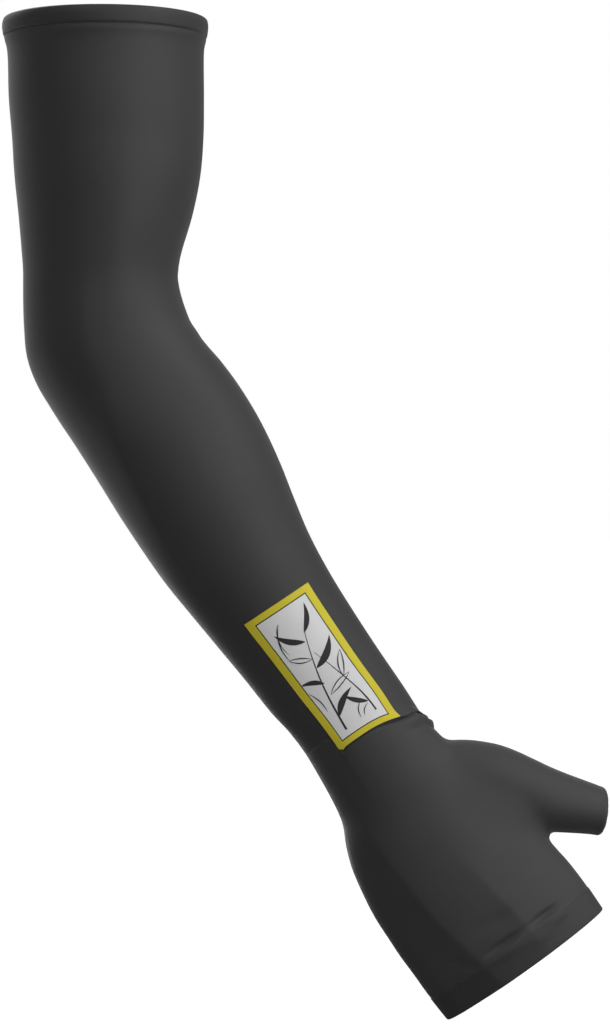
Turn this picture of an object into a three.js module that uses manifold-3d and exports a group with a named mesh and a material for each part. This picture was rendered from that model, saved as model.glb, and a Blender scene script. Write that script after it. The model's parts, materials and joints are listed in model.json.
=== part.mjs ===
// Stretch-knit arm sleeve with a fingerless hand cover, in the bent shape that it takes on an arm.
// Millimetres and degrees. +Z runs up the upper arm, +X is the thumb's side, and -Y is the arm's
// outer side, which carries the printed panel. The origin is the middle of the upper opening.

import * as THREE from 'three';
import { ParametricGeometry } from 'three/addons/geometries/ParametricGeometry.js';
import { mergeVertices } from 'three/addons/utils/BufferGeometryUtils.js';
import Module from 'manifold-3d';

// Lengths along the arm's line: down the upper arm, round the elbow, and on down forearm and hand
const upperArmLength = 157.3; // upper rim to the elbow's corner
const forearmLength = 240.4; // elbow's corner to the wrist edge
const handLength = 139; // wrist edge to the knuckle rim
const elbowBend = 33.6;
const elbowRadius = 100;

// Width across the arm, and depth through it, where each stretch is fullest
const upperArmWidth = 98;
const upperArmDepth = 94;
const elbowWidth = 83;
const elbowDepth = 74;
const forearmWidth = 85.2;
const forearmDepth = 77;
const wristWidth = 60;
const wristDepth = 43;
const palmWidth = 96.6;
const palmDepth = 33;

// Cloth
const wall = 1.2;
const hemWall = 2.6; // two plies
const seamGap = 0.3; // between pieces that are sewn edge to edge
const seamPinch = 0.8; // how far a stitched edge is drawn in
const upperHemHeight = 8.5;
const knuckleHemHeight = 13.5;
const hemRounding = 0.9;

// Wrist: the hand cover starts inside the arm tube and comes out under its edge
const wristTuck = 6;
const tuckClearance = 0.4;
const tuckRamp = 2.5; // length over which the hand cover comes back out to the arm's outline
const wristRoll = 2.6; // how far it then rolls proud at the thumb's side, and less round the rest
const wristRollLength = 10;

// Thumb tube
const thumbLength = 91; // from its root inside the palm to its rim
const thumbWidth = 35.8;
const thumbDepth = 29;
const thumbSpread = 41.4; // from the hand's line
const thumbDrop = 9; // back towards the palm's hollow
const thumbRootAlong = 28.8; // from the wrist edge
const thumbRootAside = 16.3; // from the hand's line towards the thumb's side
const thumbRootBack = -2;
const thumbRimCurl = 2.4; // how far the rim rounds in

// Knuckle rim
const knuckleSlant = 1.9;

// Printed panel: a thin film on the outer side of the forearm, in a frame and a field
const panelLength = 79;
const panelWristMargin = 1.6; // between its lower edge and the wrist edge
const panelLeft = -0.47; // edges, as shares of the forearm's half width
const panelRight = 0.61;
const frameSide = 4.6;
const frameEnd = 3.6;
const outlineGap = 0.6; // between the frame and the field
const filmGap = 0.3;
const filmThickness = 0.5;

// Facets
const around = 32;
const thumbAround = 24;
const ringStep = 13;
const handRingStep = 9;
const filmColumns = 8;
const filmRows = 7;

const upperArm = { width: upperArmWidth, depth: upperArmDepth };
const elbow = { width: elbowWidth, depth: elbowDepth };
const forearm = { width: forearmWidth, depth: forearmDepth };
const wrist = { width: wristWidth, depth: wristDepth };
const palm = { width: palmWidth, depth: palmDepth };

// Sections down the arm. along: share of the stretch; width and depth: shares of the size named;
// lean: how far the middle stands off the arm's line towards the thumb, as a share of that width;
// cup: how far the edges curl back towards the palm, as a share of that depth; square: 2 is an
// ellipse, and more is squarer.
const upperArmSections = [
  { along: 0.0, size: upperArm, width: 1.038, depth: 1.038, lean: 0.004, cup: 0, square: 2.05 },
  { along: 0.022, size: upperArm, width: 1.05, depth: 1.05, lean: 0.002, cup: 0, square: 2.05 },
  { along: 0.056, size: upperArm, width: 1.036, depth: 1.036, lean: 0.002, cup: 0, square: 2.05 },
  { along: 0.088, size: upperArm, width: 1.008, depth: 1.01, lean: 0.003, cup: 0, square: 2.05 },
  { along: 0.125, size: upperArm, width: 0.998, depth: 1.0, lean: 0.005, cup: 0, square: 2.05 },
  { along: 0.25, size: upperArm, width: 0.994, depth: 1.0, lean: 0.008, cup: 0, square: 2.05 },
  { along: 0.375, size: upperArm, width: 0.975, depth: 0.985, lean: 0.015, cup: 0, square: 2.05 },
  { along: 0.5, size: upperArm, width: 0.946, depth: 0.95, lean: 0.013, cup: 0, square: 2.05 },
  { along: 0.625, size: upperArm, width: 0.885, depth: 0.9, lean: 0.003, cup: 0, square: 2.05 },
  { along: 0.75, size: elbow, width: 0.955, depth: 1.06, lean: -0.021, cup: 0, square: 2.1 },
  { along: 0.813, size: elbow, width: 0.93, depth: 1.02, lean: -0.026, cup: 0, square: 2.1 },
  { along: 0.875, size: elbow, width: 0.942, depth: 1.0, lean: -0.028, cup: 0, square: 2.1 },
  { along: 0.9375, size: elbow, width: 0.968, depth: 1.0, lean: -0.034, cup: 0, square: 2.1 },
];
const forearmSections = [
  { along: 0.0, size: elbow, width: 0.998, depth: 1.0, lean: -0.043, cup: 0, square: 2.1 },
  { along: 0.04, size: elbow, width: 1.0, depth: 1.01, lean: -0.041, cup: 0, square: 2.1 },
  { along: 0.08, size: elbow, width: 0.995, depth: 1.02, lean: -0.028, cup: 0, square: 2.1 },
  { along: 0.125, size: elbow, width: 0.993, depth: 1.03, lean: -0.022, cup: 0, square: 2.1 },
  { along: 0.18, size: forearm, width: 0.988, depth: 1.0, lean: -0.012, cup: 0, square: 2.1 },
  { along: 0.25, size: forearm, width: 1.0, depth: 1.0, lean: -0.01, cup: 0, square: 2.1 },
  { along: 0.33, size: forearm, width: 0.995, depth: 0.98, lean: -0.019, cup: 0, square: 2.1 },
  { along: 0.42, size: forearm, width: 0.958, depth: 0.93, lean: -0.038, cup: 0, square: 2.1 },
  { along: 0.5, size: forearm, width: 0.904, depth: 0.86, lean: -0.059, cup: 0, square: 2.1 },
  { along: 0.58, size: forearm, width: 0.84, depth: 0.79, lean: -0.07, cup: 0, square: 2.1 },
  { along: 0.67, size: forearm, width: 0.789, depth: 0.72, lean: -0.069, cup: 0, square: 2.1 },
  { along: 0.76, size: wrist, width: 1.07, depth: 1.16, lean: -0.085, cup: 0, square: 2.1 },
  { along: 0.85, size: wrist, width: 1.037, depth: 1.07, lean: -0.072, cup: 0, square: 2.1 },
  { along: 0.93, size: wrist, width: 1.007, depth: 1.01, lean: -0.052, cup: 0, square: 2.15 },
];
const handSections = [
  { along: 0.0, size: wrist, width: 0.99, depth: 1.0, lean: -0.047, cup: 0.02, square: 2.15 },
  { along: 0.06, size: wrist, width: 1.02, depth: 0.97, lean: -0.04, cup: 0.03, square: 2.2 },
  { along: 0.14, size: wrist, width: 1.067, depth: 0.92, lean: -0.038, cup: 0.05, square: 2.2 },
  { along: 0.21, size: wrist, width: 1.15, depth: 0.87, lean: -0.034, cup: 0.08, square: 2.25 },
  { along: 0.28, size: palm, width: 0.798, depth: 1.05, lean: -0.028, cup: 0.12, square: 2.3 },
  { along: 0.36, size: palm, width: 0.867, depth: 1.02, lean: -0.034, cup: 0.15, square: 2.35 },
  { along: 0.45, size: palm, width: 0.917, depth: 1.0, lean: -0.034, cup: 0.17, square: 2.4 },
  { along: 0.55, size: palm, width: 0.957, depth: 0.98, lean: -0.032, cup: 0.18, square: 2.4 },
  { along: 0.65, size: palm, width: 0.977, depth: 0.96, lean: -0.024, cup: 0.18, square: 2.4 },
  { along: 0.72, size: palm, width: 0.99, depth: 0.94, lean: -0.018, cup: 0.18, square: 2.35 },
  { along: 0.8, size: palm, width: 0.999, depth: 0.92, lean: -0.007, cup: 0.17, square: 2.3 },
  { along: 0.9, size: palm, width: 1.003, depth: 0.88, lean: 0.0, cup: 0.15, square: 2.2 },
  { along: 1.0, size: palm, width: 0.992, depth: 0.82, lean: 0.007, cup: 0.13, square: 2.1 },
];

// Sections along the thumb tube, in the same columns. A plus lean is towards the wrist.
const thumb = { width: thumbWidth, depth: thumbDepth };
const thumbSections = [
  { along: 0.0, size: thumb, width: 0.8, depth: 0.8, lean: 0.007, cup: 0, square: 2.1 },
  { along: 0.12, size: thumb, width: 0.905, depth: 0.9, lean: 0.006, cup: 0, square: 2.1 },
  { along: 0.35, size: thumb, width: 1.0, depth: 1.0, lean: 0.011, cup: 0, square: 2.1 },
  { along: 0.56, size: thumb, width: 0.955, depth: 0.98, lean: -0.037, cup: 0, square: 2.1 },
  { along: 0.7, size: thumb, width: 0.9, depth: 0.95, lean: -0.068, cup: 0, square: 2.1 },
  { along: 0.84, size: thumb, width: 0.835, depth: 0.9, lean: -0.075, cup: 0, square: 2.1 },
  { along: 0.93, size: thumb, width: 0.79, depth: 0.86, lean: -0.075, cup: 0, square: 2.1 },
  { along: 1.0, size: thumb, width: 0.75, depth: 0.82, lean: -0.075, cup: 0, square: 2.1 },
];

// The wrist edge isn't square to the arm: it runs up the forearm on the little finger's side and
// reaches further down on the thumb's side. across: share of the half width; shift: share of the
// wrist's width, plus towards the hand.
const wristEdgeOuterSide = [
  { across: -1.0, shift: -0.18 },
  { across: -0.8, shift: -0.165 },
  { across: -0.62, shift: -0.06 },
  { across: -0.3, shift: -0.022 },
  { across: 0.2, shift: 0.004 },
  { across: 0.6, shift: 0.037 },
  { across: 1.0, shift: 0.093 },
];
const wristEdgeInnerSide = [
  { across: -1.0, shift: -0.18 },
  { across: 0.0, shift: -0.045 },
  { across: 1.0, shift: 0.093 },
];
const edgeFadeUpArm = 45;
const edgeFadeDownHand = 32;

const wasm = await Module();
wasm.setup();

const radians = THREE.MathUtils.degToRad;

// Arc lengths down the arm's line
const elbowTangent = elbowRadius * Math.tan(radians(elbowBend) / 2);
const elbowArc = elbowRadius * radians(elbowBend);
const elbowStart = upperArmLength - elbowTangent;
const elbowMiddle = elbowStart + elbowArc / 2;
const elbowEnd = elbowStart + elbowArc;
const wristEdge = elbowEnd + forearmLength - elbowTangent;
const knuckleRim = wristEdge + handLength;

// Cubic through the knots' values, with slopes from their neighbours
function smoothAt(knots, at, key) {
  const last = knots.length - 1;
  let i = 0;
  while (i < last - 1 && at > knots[i + 1].at) i += 1;
  const [a, b] = [knots[i], knots[i + 1]];
  const slope = (k) => {
    const before = knots[Math.max(k - 1, 0)];
    const after = knots[Math.min(k + 1, last)];
    return (after[key] - before[key]) / (after.at - before.at);
  };
  const gap = b.at - a.at;
  const t = THREE.MathUtils.clamp((at - a.at) / gap, 0, 1);
  const fromA = (1 + 2 * t) * (1 - t) ** 2 * a[key] + t * (1 - t) ** 2 * gap * slope(i);
  return fromA + t * t * (3 - 2 * t) * b[key] - t * t * (1 - t) * gap * slope(i + 1);
}

function knotsOf(rows, start, end) {
  return rows.map((row) => ({
    at: start + row.along * (end - start),
    halfWidth: (row.width * row.size.width) / 2,
    halfDepth: (row.depth * row.size.depth) / 2,
    lean: row.lean * row.size.width,
    cup: row.cup * row.size.depth,
    square: row.square,
  }));
}

const armKnots = [
  ...knotsOf(upperArmSections, 0, elbowMiddle),
  ...knotsOf(forearmSections, elbowMiddle, wristEdge),
  ...knotsOf(handSections, wristEdge, knuckleRim),
];
const thumbKnots = knotsOf(thumbSections, 0, thumbLength);

function edgeKnots(rows) {
  return rows.map((row) => ({ at: row.across, shift: row.shift * wristWidth }));
}
const outerEdge = edgeKnots(wristEdgeOuterSide);
const innerEdge = edgeKnots(wristEdgeInnerSide);

// Place and direction of the arm's line at a distance from the upper rim. It lies in the XZ plane.
function armLine(at) {
  const turned = THREE.MathUtils.clamp((at - elbowStart) / elbowRadius, 0, radians(elbowBend));
  const straight = Math.max(at - elbowEnd, 0);
  const before = Math.min(at, elbowStart);
  const down = new THREE.Vector3(Math.sin(turned), 0, -Math.cos(turned));
  const side = new THREE.Vector3(Math.cos(turned), 0, Math.sin(turned));
  const place = new THREE.Vector3(0, 0, -before)
    .add(new THREE.Vector3(1 - Math.cos(turned), 0, -Math.sin(turned)).multiplyScalar(elbowRadius))
    .addScaledVector(down, straight);
  return { place, down, side };
}

// Point of a section's outline, drawn in by an inset: x across it, y through it
function outlinePoint(knots, at, angle, inset) {
  const value = (key) => smoothAt(knots, at, key);
  const bent = (wave) => Math.sign(wave) * Math.abs(wave) ** (2 / value('square'));
  const across = bent(Math.cos(angle));
  const x = value('lean') + (value('halfWidth') - inset) * across;
  const y = -(value('halfDepth') - inset) * bent(Math.sin(angle)) + value('cup') * across ** 2;
  return { x, y, across };
}

// How far the wrist edge's uneven line moves a point along the arm
function edgeShift(at, angle, across) {
  const fade = at < wristEdge ? edgeFadeUpArm : edgeFadeDownHand;
  const weight = THREE.MathUtils.smoothstep(fade - Math.abs(at - wristEdge), 0, fade);
  return weight * smoothAt(Math.sin(angle) > 0 ? outerEdge : innerEdge, across, 'shift');
}

// Point of the arm's skin at a distance down its line, and inset from its outer face
function armPoint(at, angle, inset) {
  const { x, y, across } = outlinePoint(armKnots, at, angle, inset);
  const { place, down, side } = armLine(at);
  const onHand = THREE.MathUtils.clamp((at - wristEdge) / handLength, 0, 1);
  const slant = -x * Math.tan(radians(knuckleSlant)) * onHand;
  const along = slant + edgeShift(at, angle, across);
  return place.addScaledVector(side, x).addScaledVector(down, along).setY(y);
}

// The same on the hand cover, which starts inside the arm tube, comes out under its edge, and
// then makes a soft roll that is fullest on the thumb's side
function handPoint(at, angle, inset) {
  const inside = 1 - THREE.MathUtils.smoothstep(at, wristEdge, wristEdge + tuckRamp);
  const rolled = THREE.MathUtils.clamp((at - wristEdge) / wristRollLength, 0, 1);
  const roll = wristRoll * THREE.MathUtils.smoothstep(Math.cos(angle), -1, 1);
  const proud = roll * Math.sin(Math.PI * rolled) - (wall + tuckClearance) * inside;
  return armPoint(at, angle, inset - proud);
}

// The same on the thumb tube
const hand = armLine(wristEdge);
const thumbRoot = hand.place
  .clone()
  .addScaledVector(hand.down, thumbRootAlong)
  .addScaledVector(hand.side, thumbRootAside)
  .setY(thumbRootBack);
const spread = radians(thumbSpread);
const thumbSide = new THREE.Vector3()
  .addScaledVector(hand.side, Math.cos(spread))
  .addScaledVector(hand.down, -Math.sin(spread));
const drop = new THREE.Quaternion().setFromAxisAngle(thumbSide, radians(thumbDrop));
const thumbLine = new THREE.Vector3()
  .addScaledVector(hand.down, Math.cos(spread))
  .addScaledVector(hand.side, Math.sin(spread))
  .applyQuaternion(drop);
const thumbBack = new THREE.Vector3(0, 1, 0).applyQuaternion(drop);

function thumbPoint(at, angle, inset) {
  const { x, y } = outlinePoint(thumbKnots, at, angle, inset);
  return thumbRoot
    .clone()
    .addScaledVector(thumbLine, at)
    .addScaledVector(thumbSide, x)
    .addScaledVector(thumbBack, y);
}

// Distances from start to end, about a step apart
function stations(start, end, step) {
  const count = Math.max(1, Math.round((end - start) / step));
  return Array.from({ length: count + 1 }, (_, i) => start + ((end - start) * i) / count);
}

// A closed skin through rings of points, which comes back round to its first ring
function ringSkin(pointAt, rings, sides) {
  const place = (u, v, target) => {
    const { at, inset } = rings[Math.round(v * rings.length) % rings.length];
    target.copy(pointAt(at, u * 2 * Math.PI, inset));
  };
  return new ParametricGeometry(place, sides, rings.length);
}

// A folded hem: a band with rounded corners
function hemBand(start, end) {
  const near = hemRounding;
  const far = hemWall - hemRounding;
  const corners = [
    { at: end - hemRounding, inset: near, from: 0 },
    { at: start + hemRounding, inset: near, from: 90 },
    { at: start + hemRounding, inset: far, from: 180 },
    { at: end - hemRounding, inset: far, from: 270 },
  ];
  const rings = corners.flatMap(({ at, inset, from }) =>
    [0, 45, 90].map((turn) => ({
      at: at + hemRounding * Math.cos(radians(from + turn)),
      inset: inset - hemRounding * Math.sin(radians(from + turn)),
    })),
  );
  return ringSkin(armPoint, rings.reverse(), around);
}

// A geometry as a solid, with its shared vertices merged and its collapsed triangles dropped
function solidOf(geometry) {
  const bare = new THREE.BufferGeometry();
  bare.setAttribute('position', geometry.getAttribute('position'));
  bare.setIndex(geometry.getIndex());
  const merged = mergeVertices(bare, 1e-3);
  const corners = merged.getIndex().array;
  const kept = [];
  for (let i = 0; i < corners.length; i += 3) {
    const [a, b, c] = corners.slice(i, i + 3);
    if (a !== b && b !== c && c !== a) kept.push(a, b, c);
  }
  const vertProperties = merged.getAttribute('position').array;
  return new wasm.Manifold(
    new wasm.Mesh({ numProp: 3, vertProperties, triVerts: new Uint32Array(kept) }),
  );
}

function geometryOf(solid) {
  const { vertProperties, triVerts } = solid.getMesh();
  const geometry = new THREE.BufferGeometry();
  geometry.setAttribute('position', new THREE.BufferAttribute(vertProperties, 3));
  geometry.setIndex(new THREE.BufferAttribute(triVerts, 1));
  return geometry;
}

// A solid through rings of points, filled to its middle, with flat ends
function filledSolid(pointAt, rings, sides) {
  const last = rings.length + 1;
  const place = (u, v, target) => {
    const row = Math.round(v * last);
    const { at, inset } = rings[THREE.MathUtils.clamp(row - 1, 0, rings.length - 1)];
    target.copy(pointAt(at, u * 2 * Math.PI, inset));
    if (row === 0 || row === last) {
      target.copy(pointAt(at, 0, inset)).lerp(pointAt(at, Math.PI, inset), 0.5);
    }
  };
  return solidOf(new ParametricGeometry(place, sides, last));
}

function armTube() {
  const start = upperHemHeight + seamGap;
  const outer = [
    { at: start, inset: seamPinch },
    ...stations(start + 2 * seamPinch, wristEdge, ringStep).map((at) => ({ at, inset: 0 })),
  ];
  const inner = outer.map(({ at, inset }) => ({ at, inset: inset + wall }));
  return ringSkin(armPoint, [...outer, ...inner.reverse()], around);
}

// The inside of a cover: its rings drawn in by the wall, and run on past its open ends
function insideOf(rings, opensAtStart) {
  const overrun = 2 * wall;
  const drawnIn = rings.map(({ at, inset }) => ({ at, inset: inset + wall }));
  const [first, last] = [drawnIn[0], drawnIn.at(-1)];
  const before = opensAtStart ? [{ ...first, at: first.at - overrun }] : [];
  return [...before, ...drawnIn, { ...last, at: last.at + overrun }];
}

function handCover() {
  const palmEnd = knuckleRim - knuckleHemHeight - seamGap;
  const palmRings = [
    wristEdge - wristTuck,
    wristEdge,
    wristEdge + tuckRamp / 2,
    wristEdge + tuckRamp,
    wristEdge + wristRollLength / 2,
    ...stations(wristEdge + wristRollLength, palmEnd, handRingStep),
  ].map((at) => ({ at, inset: 0 }));
  const curlStart = thumbLength - thumbRimCurl;
  const thumbRings = [
    ...stations(0, curlStart, handRingStep).map((at) => ({ at, inset: 0 })),
    ...[45, 90].map((turn) => ({
      at: curlStart + thumbRimCurl * Math.sin(radians(turn)),
      inset: thumbRimCurl * (1 - Math.cos(radians(turn))),
    })),
  ];
  const joined = (palmRows, thumbRows) =>
    filledSolid(handPoint, palmRows, around).add(filledSolid(thumbPoint, thumbRows, thumbAround));
  const outer = joined(palmRings, thumbRings);
  const inner = joined(insideOf(palmRings, true), insideOf(thumbRings, false));
  return geometryOf(outer.subtract(inner));
}

// A thin film that lies on the arm between two distances and two angles
function filmOnArm(patch, inset, thickness) {
  const box = new THREE.BoxGeometry(1, 1, 1, filmColumns, filmRows, 1);
  const places = box.getAttribute('position');
  for (let i = 0; i < places.count; i += 1) {
    const angle = THREE.MathUtils.lerp(patch.right, patch.left, 0.5 - places.getX(i));
    const at = THREE.MathUtils.lerp(patch.top, patch.bottom, 0.5 - places.getY(i));
    const depth = inset - thickness * (0.5 + places.getZ(i));
    places.setXYZ(i, ...armPoint(at, angle, depth).toArray());
  }
  return solidOf(box);
}

// The printed panel's patch of the arm, drawn in by margins at its sides and its ends
function panelPatch(sideMargin, endMargin) {
  const bottom = wristEdge - panelWristMargin;
  const middle = bottom - panelLength / 2;
  const value = (key) => smoothAt(armKnots, middle, key);
  const turnOf = (margin, angle) =>
    margin / Math.hypot(value('halfWidth') * Math.sin(angle), value('halfDepth') * Math.cos(angle));
  const [right, left] = [Math.acos(panelRight), Math.acos(panelLeft)];
  return {
    right: right + turnOf(sideMargin, right),
    left: left - turnOf(sideMargin, left),
    top: bottom - panelLength + endMargin,
    bottom: bottom - endMargin,
  };
}

function printFrame() {
  const sheet = filmOnArm(panelPatch(0, 0), -filmGap, filmThickness);
  const opening = panelPatch(frameSide, frameEnd);
  const cutter = filmOnArm(opening, filmThickness - filmGap, 3 * filmThickness);
  return geometryOf(sheet.subtract(cutter));
}

function printField() {
  const patch = panelPatch(frameSide + outlineGap, frameEnd + outlineGap);
  return geometryOf(filmOnArm(patch, -filmGap, filmThickness));
}

const charcoalKnit = new THREE.MeshStandardMaterial({ color: 0x3a3a3b, roughness: 0.85 });
const hemKnit = new THREE.MeshStandardMaterial({ color: 0x363637, roughness: 0.88 });
const yellowInk = new THREE.MeshStandardMaterial({ color: 0xc9bc36, roughness: 0.6 });
const paleInk = new THREE.MeshStandardMaterial({ color: 0xd2d2d2, roughness: 0.6 });

function named(name, geometry, material) {
  const mesh = new THREE.Mesh(geometry, material);
  mesh.name = name;
  return mesh;
}

const sleeve = new THREE.Group();
sleeve.add(
  named('upper_hem', hemBand(0, upperHemHeight), hemKnit),
  named('arm_tube', armTube(), charcoalKnit),
  named('hand_cover', handCover(), charcoalKnit),
  named('knuckle_hem', hemBand(knuckleRim - knuckleHemHeight, knuckleRim), hemKnit),
  named('print_frame', printFrame(), yellowInk),
  named('print_field', printField(), paleInk),
);

export default sleeve;
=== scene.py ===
"""Stretch-knit arm sleeve with a fingerless hand cover, finished for the studio.

Each piece is modelled straight, hanging down from the middle of the upper rim, and is then bent at
the elbow, so that its rings, folds and knit follow the arm. Lengths are in metres, +X is the
thumb's side and -Y the arm's outer side.
"""

import json
import logging
import math
from collections.abc import Sequence
from dataclasses import dataclass, field
from enum import Enum
from typing import NamedTuple

import bpy
import numpy as np
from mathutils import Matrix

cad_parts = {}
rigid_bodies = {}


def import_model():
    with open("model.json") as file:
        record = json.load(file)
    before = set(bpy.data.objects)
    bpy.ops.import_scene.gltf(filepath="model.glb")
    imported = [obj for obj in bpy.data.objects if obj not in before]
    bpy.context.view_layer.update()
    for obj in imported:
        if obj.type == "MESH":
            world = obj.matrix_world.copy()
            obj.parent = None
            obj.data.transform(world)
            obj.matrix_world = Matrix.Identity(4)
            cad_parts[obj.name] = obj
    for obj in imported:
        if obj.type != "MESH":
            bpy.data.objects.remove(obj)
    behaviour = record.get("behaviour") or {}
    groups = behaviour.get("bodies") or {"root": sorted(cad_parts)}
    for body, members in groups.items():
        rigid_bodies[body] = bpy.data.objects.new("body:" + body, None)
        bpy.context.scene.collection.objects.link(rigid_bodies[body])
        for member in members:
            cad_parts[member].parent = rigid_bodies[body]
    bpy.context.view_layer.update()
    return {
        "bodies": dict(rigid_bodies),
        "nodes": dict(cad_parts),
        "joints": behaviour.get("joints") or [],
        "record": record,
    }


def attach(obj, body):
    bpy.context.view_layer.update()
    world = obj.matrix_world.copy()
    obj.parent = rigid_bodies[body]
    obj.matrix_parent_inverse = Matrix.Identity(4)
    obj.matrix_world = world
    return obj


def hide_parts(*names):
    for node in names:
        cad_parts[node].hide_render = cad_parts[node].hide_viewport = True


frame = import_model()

log = logging.getLogger("arm_sleeve")

MM = 0.001
BODY = "root"
SMOOTH_UNDER = math.radians(50)
RIM_CORNER = math.radians(60)


class Girth(Enum):
    """Width across and depth through the arm, where each stretch of it is fullest."""

    UPPER_ARM = (98 * MM, 94 * MM)
    ELBOW = (83 * MM, 74 * MM)
    FOREARM = (85.2 * MM, 77 * MM)
    WRIST = (60 * MM, 43 * MM)
    PALM = (96.6 * MM, 33 * MM)
    THUMB = (35.8 * MM, 29 * MM)


class Slot(Enum):
    """The record's material slots."""

    KNIT = "charcoal_knit"
    HEM = "hem_knit"
    YELLOW = "yellow_print"
    PALE = "pale_print"


class Section(NamedTuple):
    """One section across the arm, in shares of its girth.

    lean is how far its middle stands towards the thumb, cup how far its edges curl back towards
    the palm, and square is 2 for an ellipse and more for a squarer outline.
    """

    along: float
    girth: Girth
    width: float
    depth: float
    lean: float
    cup: float = 0.0
    square: float = 2.1


class EdgePoint(NamedTuple):
    """How far the wrist edge stands down the arm, at a share of the half width across it."""

    across: float
    shift: float


class Fold(NamedTuple):
    """A soft ridge, or a dent where its height is minus, that runs over the cloth.

    at and angle give its middle, length and width its reach along and across it, and turn is
    its slant from the arm's line, in degrees. The lengths are in millimetres. A crest makes it a
    corner, rounded by that much, with straighter flanks.
    """

    at: float
    angle: float
    length: float
    width: float
    turn: float
    height: float
    crest: float = 0.0


UPPER_ARM_SECTIONS = (
    Section(0.0, Girth.UPPER_ARM, 1.038, 1.038, 0.004, square=2.05),
    Section(0.022, Girth.UPPER_ARM, 1.05, 1.05, 0.002, square=2.05),
    Section(0.056, Girth.UPPER_ARM, 1.036, 1.036, 0.002, square=2.05),
    Section(0.088, Girth.UPPER_ARM, 1.008, 1.01, 0.003, square=2.05),
    Section(0.125, Girth.UPPER_ARM, 0.998, 1.0, 0.005, square=2.05),
    Section(0.25, Girth.UPPER_ARM, 0.994, 1.0, 0.008, square=2.05),
    Section(0.375, Girth.UPPER_ARM, 0.975, 0.985, 0.015, square=2.05),
    Section(0.5, Girth.UPPER_ARM, 0.946, 0.95, 0.013, square=2.05),
    Section(0.625, Girth.UPPER_ARM, 0.885, 0.9, 0.003, square=2.05),
    Section(0.75, Girth.ELBOW, 0.955, 1.06, -0.021),
    Section(0.813, Girth.ELBOW, 0.93, 1.02, -0.026),
    Section(0.875, Girth.ELBOW, 0.942, 1.0, -0.028),
    Section(0.9375, Girth.ELBOW, 0.968, 1.0, -0.034),
)
FOREARM_SECTIONS = (
    Section(0.0, Girth.ELBOW, 0.998, 1.0, -0.043),
    Section(0.04, Girth.ELBOW, 1.0, 1.01, -0.041),
    Section(0.08, Girth.ELBOW, 0.995, 1.02, -0.028),
    Section(0.125, Girth.ELBOW, 0.993, 1.03, -0.022),
    Section(0.18, Girth.FOREARM, 0.988, 1.0, -0.012),
    Section(0.25, Girth.FOREARM, 1.0, 1.0, -0.01),
    Section(0.33, Girth.FOREARM, 0.995, 0.98, -0.019),
    Section(0.42, Girth.FOREARM, 0.958, 0.93, -0.038),
    Section(0.5, Girth.FOREARM, 0.904, 0.86, -0.059),
    Section(0.58, Girth.FOREARM, 0.84, 0.79, -0.07),
    Section(0.67, Girth.FOREARM, 0.789, 0.72, -0.069),
    Section(0.76, Girth.WRIST, 1.07, 1.16, -0.085),
    Section(0.85, Girth.WRIST, 1.037, 1.07, -0.072),
    Section(0.93, Girth.WRIST, 1.007, 1.01, -0.052, square=2.15),
)
HAND_SECTIONS = (
    Section(0.0, Girth.WRIST, 0.99, 1.0, -0.047, 0.02, 2.15),
    Section(0.06, Girth.WRIST, 1.02, 0.97, -0.04, 0.03, 2.2),
    Section(0.14, Girth.WRIST, 1.067, 0.92, -0.038, 0.05, 2.2),
    Section(0.21, Girth.WRIST, 1.15, 0.87, -0.034, 0.08, 2.25),
    Section(0.28, Girth.PALM, 0.798, 1.05, -0.028, 0.12, 2.3),
    Section(0.36, Girth.PALM, 0.867, 1.02, -0.034, 0.15, 2.35),
    Section(0.45, Girth.PALM, 0.917, 1.0, -0.034, 0.17, 2.4),
    Section(0.55, Girth.PALM, 0.957, 0.98, -0.032, 0.18, 2.4),
    Section(0.65, Girth.PALM, 0.977, 0.96, -0.024, 0.18, 2.4),
    Section(0.72, Girth.PALM, 0.99, 0.94, -0.018, 0.18, 2.35),
    Section(0.8, Girth.PALM, 0.999, 0.92, -0.007, 0.17, 2.3),
    Section(0.9, Girth.PALM, 1.003, 0.88, 0.0, 0.15, 2.2),
    Section(1.0, Girth.PALM, 0.992, 0.82, 0.007, 0.13, 2.1),
)
THUMB_SECTIONS = (
    Section(0.0, Girth.THUMB, 0.8, 0.8, 0.007),
    Section(0.12, Girth.THUMB, 0.905, 0.9, 0.006),
    Section(0.35, Girth.THUMB, 1.0, 1.0, 0.011),
    Section(0.56, Girth.THUMB, 0.955, 0.98, -0.037),
    Section(0.7, Girth.THUMB, 0.9, 0.95, -0.068),
    Section(0.84, Girth.THUMB, 0.795, 0.88, -0.055),
    Section(0.93, Girth.THUMB, 0.73, 0.84, -0.045),
    Section(1.0, Girth.THUMB, 0.68, 0.8, -0.04),
)

# The wrist edge, in shares of the half width across the wrist and of the wrist's width down the arm
WRIST_EDGE_OUTER_SIDE = (
    EdgePoint(-1.0, -0.18),
    EdgePoint(-0.83, -0.18),
    EdgePoint(-0.68, -0.197),
    EdgePoint(-0.59, -0.207),
    EdgePoint(-0.52, -0.18),
    EdgePoint(-0.47, -0.08),
    EdgePoint(-0.43, -0.045),
    EdgePoint(-0.36, -0.056),
    EdgePoint(-0.17, -0.064),
    EdgePoint(0.17, -0.064),
    EdgePoint(0.4, -0.05),
    EdgePoint(0.6, -0.022),
    EdgePoint(0.78, 0.012),
    EdgePoint(0.92, 0.035),
    EdgePoint(1.0, 0.14),
)
WRIST_EDGE_INNER_SIDE = (
    EdgePoint(-1.0, -0.18),
    EdgePoint(0.0, -0.045),
    EdgePoint(0.8, 0.06),
    EdgePoint(1.0, 0.14),
)

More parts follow.
